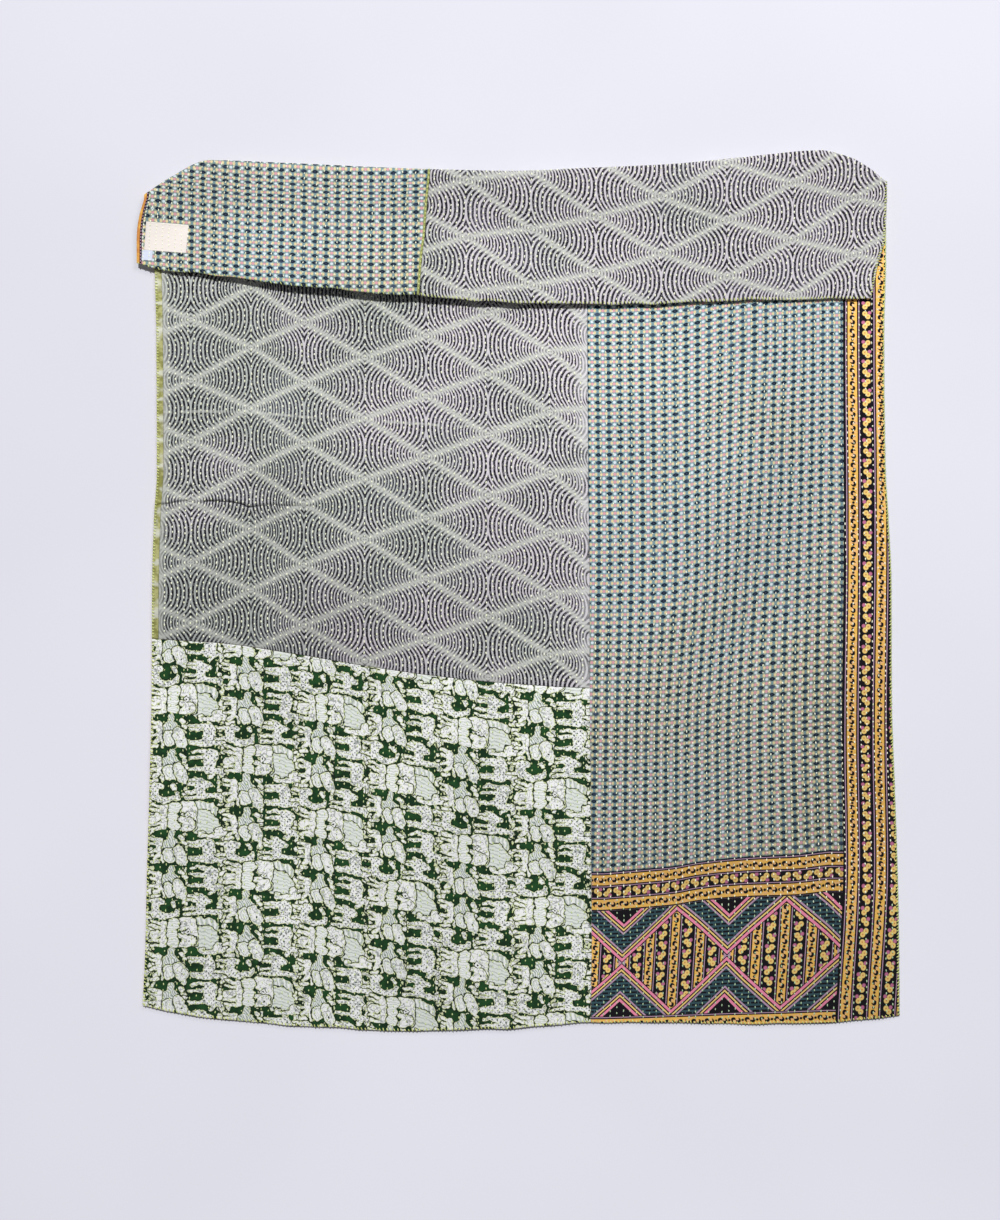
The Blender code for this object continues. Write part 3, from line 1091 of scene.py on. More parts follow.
# %% [markdown]
# ## The arc print
#
# Fans of thin dark lines fill a net of long diamonds. The lines are rounds about the left and the
# right corner of each diamond, and they meet in the middle. They thin out before they reach the
# diamond's sides, which leaves pale bands. All of that is one distance and one cosine: the print is
# counted in steps along the two slants of the net, so a whole number is always a corner.

# %% Arc print
ARC_LINE, ARC_LINE_WIDE = 0.00505, 0.0068   # between lines, near a centre and far from it
ARC_SPREAD_FROM = 0.057                     # distance from a centre at which they spread
ARC_FIRST, ARC_WOBBLE = 0.0017, 0.0022      # radius of the first line, and how far the lines shake
ARC_SQUASH, ARC_SQUARE = 1.62, 2.35         # rounds wider than high, a little squarer than an oval
ARC_THIN = 0.60                             # how much thinner the lines are at a band
ARC_PALE = 0.80                             # how much paler they are there
ARC_BAND_EDGE = 0.110                       # half a band and its soft edge, as a share of a diamond
ARC_GROUND = rgb(213, 207, 214)
ARC_SAGE = rgb(183, 188, 184)
ARC_BAND = rgb(196, 198, 191)
ARC_INK = rgb(16, 12, 26)
ARC_FADED_INK = rgb(56, 54, 68)
# painted shade for the dark line in the crease's trough
PAINTED_TROUGH_SHADE = rgb(20, 18, 26)
FOLD_PALE = rgb(204, 206, 198)
SEAM_PALE = rgb(222, 222, 222)


def fold_wear_and_painted_shade(paint, colour):
    """Painted shade as a dark line in the trough, a pale worn one on the old fold, worn bands by the strip
    and the seam.
    """
    trough, old_fold, depth = parts(paint.node("ShaderNodeAttribute", {"attribute_name": "Folds"}, output=1))
    uneven = noise(paint, 38.0)
    over = coordinates(paint, "Cloth")[0] * WIDTH
    colour = dye((over - STRIP).rise(0.0140, 0.0010) * 0.6, colour, FOLD_PALE)
    from_seam = (over * -1.0 + FRONT_SEAM * WIDTH).rise(0.0300, 0.0040)
    colour = dye(from_seam * uneven.rise(0.25, 0.65) * 0.50, colour, SEAM_PALE)
    colour = dye(abs(old_fold).rise(0.0034, 0.0008) * uneven.rise(0.30, 0.62) * 0.55, colour, FOLD_PALE)
    # painted shade: the trough's dark line, strongest where the trough is deepest
    return dye(abs(trough).rise(0.0017, 0.0005) * uneven.rise(0.26, 0.48) * depth, colour, PAINTED_TROUGH_SHADE)


def arc_print(paint, row_height):
    """Ground, pale bands and dark lines. Both slants are shares of the way from corner to corner."""
    column, row = coordinates(paint, "Print")
    right, left = (column * 0.5 + row).part(), (column * 0.5 - row).part()
    over = ARC_COLUMN - abs((right + left) * ARC_COLUMN - ARC_COLUMN)
    up = (right - left) * (row_height / 2)
    wide = over.math("POWER", ARC_SQUARE)
    high = abs(up * ARC_SQUASH).math("POWER", ARC_SQUARE)
    wobble = (noise(paint, 90.0) - 0.5) * ARC_WOBBLE
    reach = (wide + high).math("POWER", 1 / ARC_SQUARE) + wobble
    spread = (reach - ARC_SPREAD_FROM).most(0.0) * (1 / ARC_LINE - 1 / ARC_LINE_WIDE)
    line = ((reach - ARC_FIRST) / ARC_LINE - spread).wave() * 0.5 + 0.5
    to_band = 0.5 - abs(right - 0.5).most(abs(left - 0.5))
    near_centre = reach.rise(0.0160, 0.0080) * 0.5
    inside = to_band.rise(-0.2 * ARC_BAND_EDGE, ARC_BAND_EDGE).most(near_centre)
    breaks = noise(paint, 420.0, 1.0).rise(0.25, 0.55) * 0.35 + 0.65
    drawn = (line * (inside * ARC_THIN + (1 - ARC_THIN))).rise(0.28, 0.58)
    ink = drawn * breaks * (inside * ARC_PALE + (1 - ARC_PALE))
    from_side = coordinates(paint, "Cloth")[0]
    sage = (noise(paint, 5.0, 3.0) - from_side * 0.4).rise(0.22, 0.50)
    ground = dye(sage, ARC_GROUND, ARC_SAGE)
    ground = dye(to_band.rise(0.115, 0.01) * 0.85, ground, ARC_BAND)
    pen = dye(noise(paint, 11.0, 4.0).rise(0.50, 0.75), ARC_INK, ARC_FADED_INK)
    return dye(ink, ground, pen)


def front_arc_print(paint):
    return fold_wear_and_painted_shade(paint, arc_print(paint, FRONT_ARC_ROW))


def back_arc_print(paint):
    return arc_print(paint, BACK_ARC_ROW)


print("arc lines", ARC_LINE * 1000, "to", ARC_LINE_WIDE * 1000, "mm apart")

# %% [markdown]
# ## The dotted print
#
# The dotted cloth is an old sari. Its ground repeats one small group: a navy lens and a pale dot,
# and below them a pink dot between two yellow ones. Each dot is an oval in the repeat's own
# coordinates, laid over the ground in turn. The lens is the last, because it covers its neighbours.

# %% Dots
DOT_GROUND = rgb(128, 156, 163)
DOT_WARM = rgb(134, 146, 132)
DOT_NAVY = rgb(16, 28, 46)
DOT_SLATE = rgb(82, 98, 122)
DOT_PALE = rgb(214, 229, 236)
DOT_PINK = rgb(216, 160, 168)
DOT_YELLOW = rgb(224, 208, 160)
DOT_LINK = rgb(120, 150, 154)
Dot = namedtuple("Dot", "across along half_wide half_high colour")
DOTS = table(Dot, [
    (0.00, 0.50, 0.0013, 0.0036, DOT_LINK),
    (0.50, 0.00, 0.0024, 0.0023, DOT_PALE),
    (0.50, 0.50, 0.0026, 0.0026, DOT_PINK),
    (0.24, 0.50, 0.0021, 0.0027, DOT_YELLOW),
    (0.76, 0.50, 0.0021, 0.0027, DOT_YELLOW),
])
DOT_SOFT = 0.25           # share of a dot's radius over which its edge softens
LENS_WIDE, LENS_HIGH = 0.0052, 0.0035      # half the size of the navy lens, which is pointed at both ends


def dot_field(paint, u, v):
    """The repeating ground of the sari."""
    tint = noise(paint, 2.6, 3.0) - v * 0.22
    colour = dye(tint.rise(0.32, 0.62), DOT_GROUND, DOT_WARM)
    for dot in DOTS:
        x = (u - dot.across * DOT_WIDE).nearest(DOT_WIDE) / dot.half_wide
        y = (v - dot.along * DOT_HIGH).nearest(DOT_HIGH) / dot.half_high
        colour = dye(across_from(x, y).rise(1 + DOT_SOFT, 1 - DOT_SOFT), colour, dot.colour)
    x, y = u.nearest(DOT_WIDE) / LENS_WIDE, v.nearest(DOT_HIGH) / LENS_HIGH
    lens = abs(x) + y * y
    faded = noise(paint, 60.0).rise(0.48, 0.70) * 0.6
    navy = dye(faded.most(lens.rise(0.40, 0.15) * 0.35), DOT_NAVY, DOT_SLATE)
    return dye(lens.rise(1.12, 0.82), colour, navy)


print(len(DOTS) + 1, "dots in each repeat")

# %% [markdown]
# ## The sari's borders
#
# Bands of small S marks on orange alternate with bands of yellow florets on black, with black and
# mauve lines between them. The same stripes make the side border, the top of the lower border
# and the filling of its diamonds, so one function draws them for any pair of coordinates.

# %% Stripes of S marks and florets
ORANGE = rgb(238, 187, 90)
ORANGE_DEEP = rgb(208, 140, 74)
BLACK = rgb(14, 10, 17)
MAUVE = rgb(182, 148, 172)
PINK = rgb(236, 138, 168)
MAGENTA = rgb(192, 112, 146)
YELLOW = rgb(238, 204, 122)
TEAL = rgb(52, 80, 88)
GREEN_EDGE = rgb(204, 212, 146)
MARK_INK = rgb(12, 9, 18)
MARK_FILL = rgb(232, 182, 166)
S_PITCH, S_LOBE, S_STROKE = 0.0227, 0.0027, 0.0019   # along the band, radius of a lobe, half its stroke
S_TALL, S_LEAN, S_DOT = 1.12, 0.26, 0.0022           # taller than two rounds, slant, radius of a dot
S_OPEN = 1.70                                        # how far up a lobe, in radii, its side is open
FLORET_PITCH, FLORET = 0.0167, 0.0043                # along the band, radius of one floret
FLORET_OUT, FLORET_UP = 0.0025, 0.0026               # from the middle of a pair to one floret
BUD_OUT, BUD_UP = 0.0052, 0.0040                     # from there to the mauve bud beside it
Line = namedtuple("Line", "start colour")
STRIPE_LINES = table(Line, [   # shares of the period past the orange
    (0.000, BLACK),
    (0.052, MAUVE),
    (0.084, BLACK),
])
FLORETS_FROM = 0.116


def s_marks(across, along):
    """How much ink and how much fill there is at a place in a chain of S marks and dots."""
    turned = (along.nearest(S_PITCH) + across * S_LEAN) / S_TALL
    lower = turned < 0.0
    flip = 1.0 - lower * 2.0
    x, y = across * flip, turned * flip
    lobe = across_from(x, y - S_LOBE)
    open_side = (x > 0.0) * (y < S_OPEN * S_LOBE)
    stroke = abs(lobe - S_LOBE).rise(S_STROKE * 1.25, S_STROKE * 0.85) * (1.0 - open_side)
    dot = across_from(across, (along - S_PITCH / 2).nearest(S_PITCH)).rise(S_DOT * 1.3, S_DOT * 0.7)
    return stroke.most(dot), lobe.rise(S_LOBE, 0.6 * S_LOBE)


def florets(across, along):
    """Pairs of yellow florets on black, each pair leaning the other way from the last."""
    pair = along / FLORET_PITCH
    lean = 1.0 - ((pair.whole() * 0.5).part() > 0.25) * 2.0
    x, y = across * lean, (pair.part() - 0.5) * FLORET_PITCH
    upper = across_from(x - FLORET_OUT, y - FLORET_UP)
    nearer = upper.least(across_from(x + FLORET_OUT, y + FLORET_UP))
    beside = across_from(x + BUD_OUT, y - BUD_UP).rise(0.0038, 0.0022)
    colour = dye(beside, BLACK, MAGENTA)
    colour = dye(nearer.rise(FLORET * 1.12, FLORET * 0.88), colour, YELLOW)
    middle = (nearer - 0.0011).most(abs(x - y) - 0.0044)
    return dye(middle.rise(0.0008, -0.0004), colour, ORANGE_DEEP)


def over_lines(place, colour, lines):
    """Each line of a table covers all that lies past its start."""
    for line in lines:
        colour = dye(place > line.start, colour, line.colour)
    return colour


def stripes(across, along, period, orange_share):
    """The border's stripes: an orange band is centred where across is 0."""
    off = across.nearest(period)
    share = abs(off) * (1 / period)
    ink, fill = s_marks(off, along)
    specks = noise(across, 240.0, 1.0).rise(0.50, 0.66)
    orange = dye(specks.most(fill) * 0.5, ORANGE, MARK_FILL)
    colour = over_lines(share - orange_share, dye(ink, orange, MARK_INK), STRIPE_LINES)
    middle = (across + period / 2).nearest(period)
    return dye(share > orange_share + FLORETS_FROM, colour, florets(middle, along))


print("an S mark every", round(S_PITCH * 1000, 1), "mm, a floret every", round(FLORET_PITCH * 1000, 1), "mm")

# %% [markdown]
# Down in the lower border a row of diamonds stands between two orange bands. Everything about a
# diamond depends on one height: how far a point is above or below the diamond's outline.

# %% Diamonds and the lower border
LOWER_STRIPE, LOWER_ORANGE = 0.0410, 0.200      # period of its stripes and the orange's share
SIDE_STRIPE, SIDE_ORANGE = 0.0472, 0.163
FIRST_ORANGE, LAST_ORANGE = 0.0120, 0.2535      # middles of the orange bands, down from the top line
SIDE_FIRST_ORANGE = 0.0136
ZONE_TOP, ZONE_FOOT = 0.0635, 0.2405            # the row of diamonds
DIAMOND_WIDE = 10 * DOT_WIDE
DIAMOND_RISE, DIAMOND_NECK = 0.0790, 0.0075
DIAMOND_STRIPE, DIAMOND_ORANGE = 0.0430, 0.150
DIAMOND_SIDE = 0.468                            # share of its width past which its tip is mauve
WEFT_STEP, WEFT_BREAKS = 0.0062, 80.0           # between dark lines on the teal, breaks to the metre
INNER_RINGS = table(Line, [   # by height outside a diamond's outline
    (-0.0075, BLACK),
    (-0.0055, PINK),
    (0.0000, BLACK),
    (0.0028, YELLOW),
    (0.0060, BLACK),
    (0.0086, MAUVE),
])
TEAL_START = 0.0122
OUTER_RINGS = table(Line, [
    (0.0390, MAUVE),
    (0.0424, BLACK),
    (0.0452, YELLOW),
    (0.0484, BLACK),
    (0.0512, PINK),
    (0.0565, BLACK),
])


def diamonds(u, down):
    """The row of diamonds, with stripes inside each."""
    off = (u + DIAMOND_WIDE / 2).nearest(DIAMOND_WIDE)
    level = down - (ZONE_TOP + ZONE_FOOT) / 2
    outside = abs(level) - DIAMOND_NECK - DIAMOND_RISE + abs(off) * (2 * DIAMOND_RISE / DIAMOND_WIDE)
    colour = stripes(off, level * -1.0, DIAMOND_STRIPE, DIAMOND_ORANGE)
    colour = dye(abs(off) > DIAMOND_SIDE * DIAMOND_WIDE, colour, MAUVE)
    dash = abs(level.nearest(WEFT_STEP)).rise(0.0019, 0.0010)
    broken = (u * WEFT_BREAKS + (level / WEFT_STEP + 0.5).whole() * 0.37).wave().rise(-0.98, -0.75)
    colour = over_lines(outside, colour, INNER_RINGS)
    colour = dye(outside > TEAL_START, colour, dye(dash * broken, TEAL, BLACK))
    return over_lines(outside, colour, OUTER_RINGS)


def lower_border(u, down):
    """Two orange bands, and the row of diamonds between them."""
    top = stripes(FIRST_ORANGE - down, u, LOWER_STRIPE, LOWER_ORANGE)
    foot = stripes(LAST_ORANGE - down, u, LOWER_STRIPE, LOWER_ORANGE)
    colour = dye(down > ZONE_TOP, top, diamonds(u, down))
    return dye(down > ZONE_FOOT, colour, foot)


print("one diamond", round(DIAMOND_WIDE * 1000, 1), "mm wide")

# %% The whole sari, front and reverse
TOP_LINE, SIDE_LINE = 0.0022, 0.0024       # dark lines between the dots and the two borders
SELVAGE, DASHES, DASH = 0.0017, 0.0040, 0.0125   # green edge, reach of its dark dashes, their pitch
LOWER_BRIGHTER, SIDE_BRIGHTER = (-0.03, -0.09), (0.12, -0.10)   # heights between which a border is made brighter, taking back part of the painted shade towards the hem


def sari_print(paint):
    """The dotted ground with its side border, its lower border and a dashed edge."""
    u, v = coordinates(paint, "Print")
    from_edge = 1.0 - coordinates(paint, "Cloth")[0]
    past_column = (DOTS_TO_BORDER % 1) * DOT_WIDE     # the border doesn't begin on a column of dots
    ground = dot_field(paint, u + past_column, v)
    colour = dye(v < TOP_LINE, ground, DOT_NAVY)
    # the borders are brightened towards the hem against the painted shade that the cotton finish lays over
    # them
    lower = shade(lower_border(u, v * -1.0), v.rise(*LOWER_BRIGHTER) * 0.34 + 1.06)
    colour = dye(v < 0.0, colour, lower)
    colour = dye(u > -SIDE_LINE, colour, BLACK)
    side = stripes(u - SIDE_FIRST_ORANGE, v, SIDE_STRIPE, SIDE_ORANGE)
    colour = dye(u > 0.0, colour, shade(side, v.rise(*SIDE_BRIGHTER) * 0.30 + 1.16))
    dashes = (from_edge < DASHES / WIDTH) * ((v / DASH).part() < 0.55)
    colour = dye(dashes, colour, BLACK)
    return dye(from_edge < SELVAGE / WIDTH, colour, GREEN_EDGE)


EDGE_LINES = table(Line, [   # from the outer edge of the reverse inwards
    (0.0052, BLACK),
    (0.0062, MAUVE),
    (0.0077, BLACK),
])
REVERSE_BORDER = 0.0090
STITCHED = 0.0052            # pitch of the dark breaks in its mauve line
SEAM_TAPE = 0.0042           # width of the olive edge along the seam on the reverse
OLIVE = rgb(150, 155, 95)


def reverse_sari_print(paint):
    """The dotted ground with the narrow border that shows on the reverse."""
    u, v = coordinates(paint, "Print")
    across, along = coordinates(paint, "Cloth")
    from_edge = across * WIDTH
    border = dye(noise(paint, 60.0).rise(0.4, 0.6), ORANGE, ORANGE_DEEP)
    border = over_lines(from_edge, border, EDGE_LINES)
    broken = (from_edge > EDGE_LINES[1].start) * ((v / STITCHED).part() < 0.45)
    border = dye(broken, border, BLACK)
    colour = dye(from_edge < REVERSE_BORDER, dot_field(paint, u, v), border)
    return dye(across > BACK_SEAM - SEAM_TAPE / WIDTH, colour, OLIVE)


# %% [markdown]
# ## The animal print
#
# White animals walk in rows over dark green, each row half a repeat on from the last. They were
# printed sideways, so their feet point to the quilt's left edge. Each animal is a handful of
# tapered limbs: a limb is the set of points near a line, and the animal is the nearest of its limbs.
# The tables are in millimetres and were charted: the figures stand where the old cloth has them, in about
# its sizes and poses, and their outlines are simplified to those limbs.

# %% The animals, limb by limb
REPEAT, ROW_RISE = 0.1955, 0.1200      # along a row of animals, and from one row to the next
MM = 0.001
Limb = namedtuple("Limb", "x y x_end y_end radius radius_end")
DEER = table(Limb, [
    (18, 12, 36, 13, 9.5, 9.5),       # body
    (12, 6, 11, -20, 3.2, 1.8),       # hind legs
    (17, 3, 18, -19, 2.6, 1.6),
    (36, 4, 37, -20, 2.6, 1.7),       # front legs
    (43, 8, 41, -17, 2.6, 1.6),
    (38, 18, 41, 33, 5.0, 3.4),       # neck
    (41, 35, 49, 32, 3.5, 2.0),       # head
    (40, 37, 35, 41, 1.5, 0.8),       # ear
    (9, 16, 6, 9, 1.6, 0.8),          # tail
])
STAG = table(Limb, [
    (61, 15, 82, 12, 10.0, 8.5),
    (56, 8, 53, -5, 3.6, 2.0),
    (53, -5, 56, -15, 2.0, 1.4),
    (65, 5, 66, -18, 2.9, 1.8),
    (83, 4, 84, -21, 2.7, 1.8),
    (86, 16, 88, 30, 5.0, 3.5),
    (88, 33, 98, 31, 3.5, 1.9),
    (87, 36, 82, 41, 1.4, 0.8),
    (92, 20, 97, 14, 2.2, 2.6),       # a flower before the chest
])
CAMEL = table(Limb, [
    (109, 5, 110, 13, 7.5, 3.6),      # hump
    (105, -2, 125, -2, 6.6, 6.4),
    (129, -2, 130, 27, 4.4, 3.0),     # neck
    (129, 31, 137, 29, 3.3, 1.9),
    (103, -6, 102, -23, 2.4, 1.6),
    (110, -7, 109, -22, 2.4, 1.6),
    (122, -6, 123, -26, 2.4, 1.7),
    (131, -2, 132, -27, 2.4, 1.7),
    (100, 1, 97, -11, 1.3, 0.8),
])
ELEPHANT_RUMP = table(Limb, [
    (149, -2, 154, 13, 11.5, 12.0),
    (146, -9, 160, -9, 7.0, 7.0),
])
ELEPHANT_SADDLE = table(Limb, [
    (166, 5, 175, 11, 13.5, 15.5),
    (160, -6, 184, -6, 8.0, 7.0),
    (178, 14, 185, 23, 9.0, 7.6),
])
ELEPHANT = table(Limb, [
    (187, 27, 190, 33, 7.6, 6.2),     # head
    (194, 27, 197, 6, 4.0, 2.8),      # trunk
    (197, 6, 195, -3, 2.8, 2.2),
    (195, -3, 190, -3, 2.2, 1.8),
    (190, -3, 190, 2, 1.7, 1.2),
    (150, -15, 180, -15, 6.4, 6.4),
    (145, -16, 143, -31, 6.6, 5.4),   # feet
    (153, -20, 153, -33, 4.8, 4.2),
])
CALF = table(Limb, [
    (177, -20, 180, -25, 9.0, 7.2),
    (184, -26, 184, -34, 4.0, 3.2),
    (170, -27, 169, -34, 4.0, 3.4),
])
BIRD_WING = table(Limb, [
    (14, -50, 20, -44, 9.6, 9.2),
    (4, -50, -3, -49, 4.2, 4.6),      # tail
    (12, -58, 30, -59, 3.6, 3.6),
])
BIRD_BREAST = table(Limb, [
    (30, -53, 37, -52, 8.6, 8.0),
])
BIRD_HEAD = table(Limb, [
    (25, -38, 40, -32, 8.4, 8.6),
    (46, -29, 53, -26, 2.6, 1.4),     # beak
])
SPRIG = table(Limb, [
    (3, -34, 6, -30, 2.6, 2.8),
    (12, -30, 13, -26, 1.8, 2.2),
    (52, -42, 54, -46, 2.4, 2.0),
])
HOUND = table(Limb, [
    (9, -70, 29, -68, 5.0, 4.4),
    (28, -65, 45, -63, 1.6, 1.2),
    (7, -72, 4, -86, 2.4, 1.5),
    (14, -72, 13, -84, 2.4, 1.5),
    (26, -71, 28, -85, 2.3, 1.5),
    (34, -71, 39, -78, 3.2, 2.0),
    (44, -72, 46, -82, 2.4, 2.0),
])
SECOND_CAMEL = table(Limb, [
    (133, -44, 137, -60, 3.6, 4.2),
    (137, -60, 131, -74, 4.4, 5.4),
    (131, -75, 114, -76, 6.4, 6.2),
    (113, -66, 113, -73, 4.4, 6.4),
    (133, -41, 124, -39, 3.2, 1.8),
    (112, -80, 111, -95, 2.3, 1.6),
    (129, -80, 130, -97, 2.4, 1.7),
    (112, -46, 117, -43, 3.0, 2.4),
])
GOURDS = table(Limb, [
    (149, -44, 150, -47, 8.6, 8.4),
    (165, -46, 165, -49, 7.4, 7.8),
    (180, -45, 179, -48, 8.0, 7.4),
])
GOAT = table(Limb, [
    (148, -62, 183, -62, 4.4, 4.4),
    (149, -64, 143, -83, 2.2, 1.5),
    (156, -64, 152, -84, 2.2, 1.5),
    (176, -64, 177, -85, 2.3, 1.6),
    (184, -63, 185, -82, 2.2, 1.6),
    (165, -72, 168, -79, 5.2, 6.4),
])
Eye = namedtuple("Eye", "x y radius")
UPPER_EYES = table(Eye, [
    (44, 34, 0.9),
    (92, 33, 0.9),
    (131, 31, 0.9),
    (190, 32, 1.1),
    (179, -21, 1.3),
])
BIRD_EYE = Eye(37, -33, 1.5)
EYE_SOFT = 0.3
FLOWER_X, FLOWER_Y = 161.5, -24.0           # the flower on the elephant's cloth, a box on its corner
UPPER_FROM_X, UPPER_FROM_Y = 4.0, -41.0     # where the window on the upper animals begins
LOWER_FROM_X, LOWER_FROM_Y = -8.0, -100.0
PAIR = 58.0                                 # from the first bird to the second
SPOT_STEP = 7.8                             # twice the step between the rows of spots on a coat
SPRIG_CELLS, SPRIG_SIZE, SPRIG_EDGE = 135.0, 0.40, 7.0   # to the metre, share of a cell, sharpness
RUMP_STEP, RUMP_MIDDLE, RUMP_BEND = 7.4, 150.0, 0.012    # tiers of the cloth on the elephant's rump
RIB_STEP, RIB_LEAN, RIB_TWIST = 6.0, 0.25, 0.010         # ribs of its saddle cloth
RIB_X, RIB_Y = 172.0, 8.0                   # the place about which they twist
FEATHER_STEP, FEATHER_LEAN = 4.0, 0.5
GOURD_STEP = 4.0
PLUME_IN, HOOD_IN, HOOD_STEP = 3.0, 3.2, 1.9   # how far inside the bird's outline its markings lie
OUT_OF_WAY = 9.0                            # added to a distance to take a figure off the cloth
SHAKE, SWAY = 0.0085, 0.0080                # metres by which fine and loose noise move the outlines

print("a deer of", len(DEER), "limbs and an elephant of", len(ELEPHANT))

# %% [markdown]
# A figure is painted in three steps, as a block printer's colours overlap: a dark contour, a
# yellowish fringe and the body. Noise moves the outlines a little, because blocks are cut by hand.

# %% One limb, one figure
GREEN = rgb(32, 76, 36)
GREEN_DEEP = rgb(20, 50, 26)
WHITE = rgb(254, 255, 253)
FRINGE = rgb(222, 230, 182)
CONTOUR = rgb(18, 38, 24)
SAGE = rgb(214, 222, 213)
SAGE_DEEP = rgb(188, 200, 190)
WORN_SAGE = rgb(236, 241, 234)
SPOT = rgb(74, 90, 80)


def from_limb(place, limb):
    """Distance from a place to the outside of one limb, less than 0 inside it."""
    run = Vector((limb.x_end - limb.x, limb.y_end - limb.y, 0))
    from_start = vector_sum("SUBTRACT", place, (limb.x, limb.y, 0))
    along = vector_sum("DOT_PRODUCT", from_start, run / run.length_squared, output=1)
    share = along.node("ShaderNodeClamp", None, {"Value": along})       # 0 at its start, 1 at its end
    nearest = share.node("ShaderNodeVectorMath", {"operation": "SCALE"}, {0: run, "Scale": share})
    reach = vector_sum("DISTANCE", from_start, nearest, output=1)
    return share.math("MULTIPLY_ADD", limb.radius - limb.radius_end, reach) - limb.radius


def from_animal(place, limbs):
    """Distance to the nearest of an animal's limbs."""
    nearest = from_limb(place, limbs[0])
    for limb in limbs[1:]:
        nearest = nearest.least(from_limb(place, limb))
    return nearest


def paint_animal(ground, distance, body):
    """A contour, a yellowish fringe and the body, laid over what is there already."""
    colour = dye(distance.rise(3.0, 2.0), ground, CONTOUR)
    colour = dye(distance.rise(1.1, 0.7), colour, FRINGE)
    return dye(distance.rise(0.35, -0.35), colour, body)


# %% The whole animal print
def repeat_window(down, column, from_x, from_y):
    """Millimetres in the repeat, which moves on by half its length with each row."""
    up = column * (ROW_RISE / MM) - from_y
    row = (up / (ROW_RISE / MM)).whole()
    y = up - row * (ROW_RISE / MM) + from_y
    along = (down / REPEAT - row * 0.5 - from_x * MM / REPEAT).part()
    return along * (REPEAT / MM) + from_x, y


def point(x, y):
    """A place whose two parts are given."""
    return x.node("ShaderNodeCombineXYZ", None, {0: x, 1: y})


def in_eye(x, y, eye):
    """1 inside an eye, with a soft edge."""
    return across_from(x - eye.x, y - eye.y).rise(eye.radius + EYE_SOFT, eye.radius - EYE_SOFT)


def spotted_coat(x, y, white):
    """White with dark spots where two waves are both high or both low."""
    spots = (x / SPOT_STEP).wave() * (y / SPOT_STEP).wave()
    return dye(spots.rise(0.50, 0.74) * 0.95, white, SPOT)


def off_line(paint, fine, coarse):
    """How far a hand-cut block strays from its line, in metres."""
    return (noise(paint, fine, 4.5) - 0.5) * SHAKE + (noise(paint, coarse, 1.0) - 0.5) * SWAY


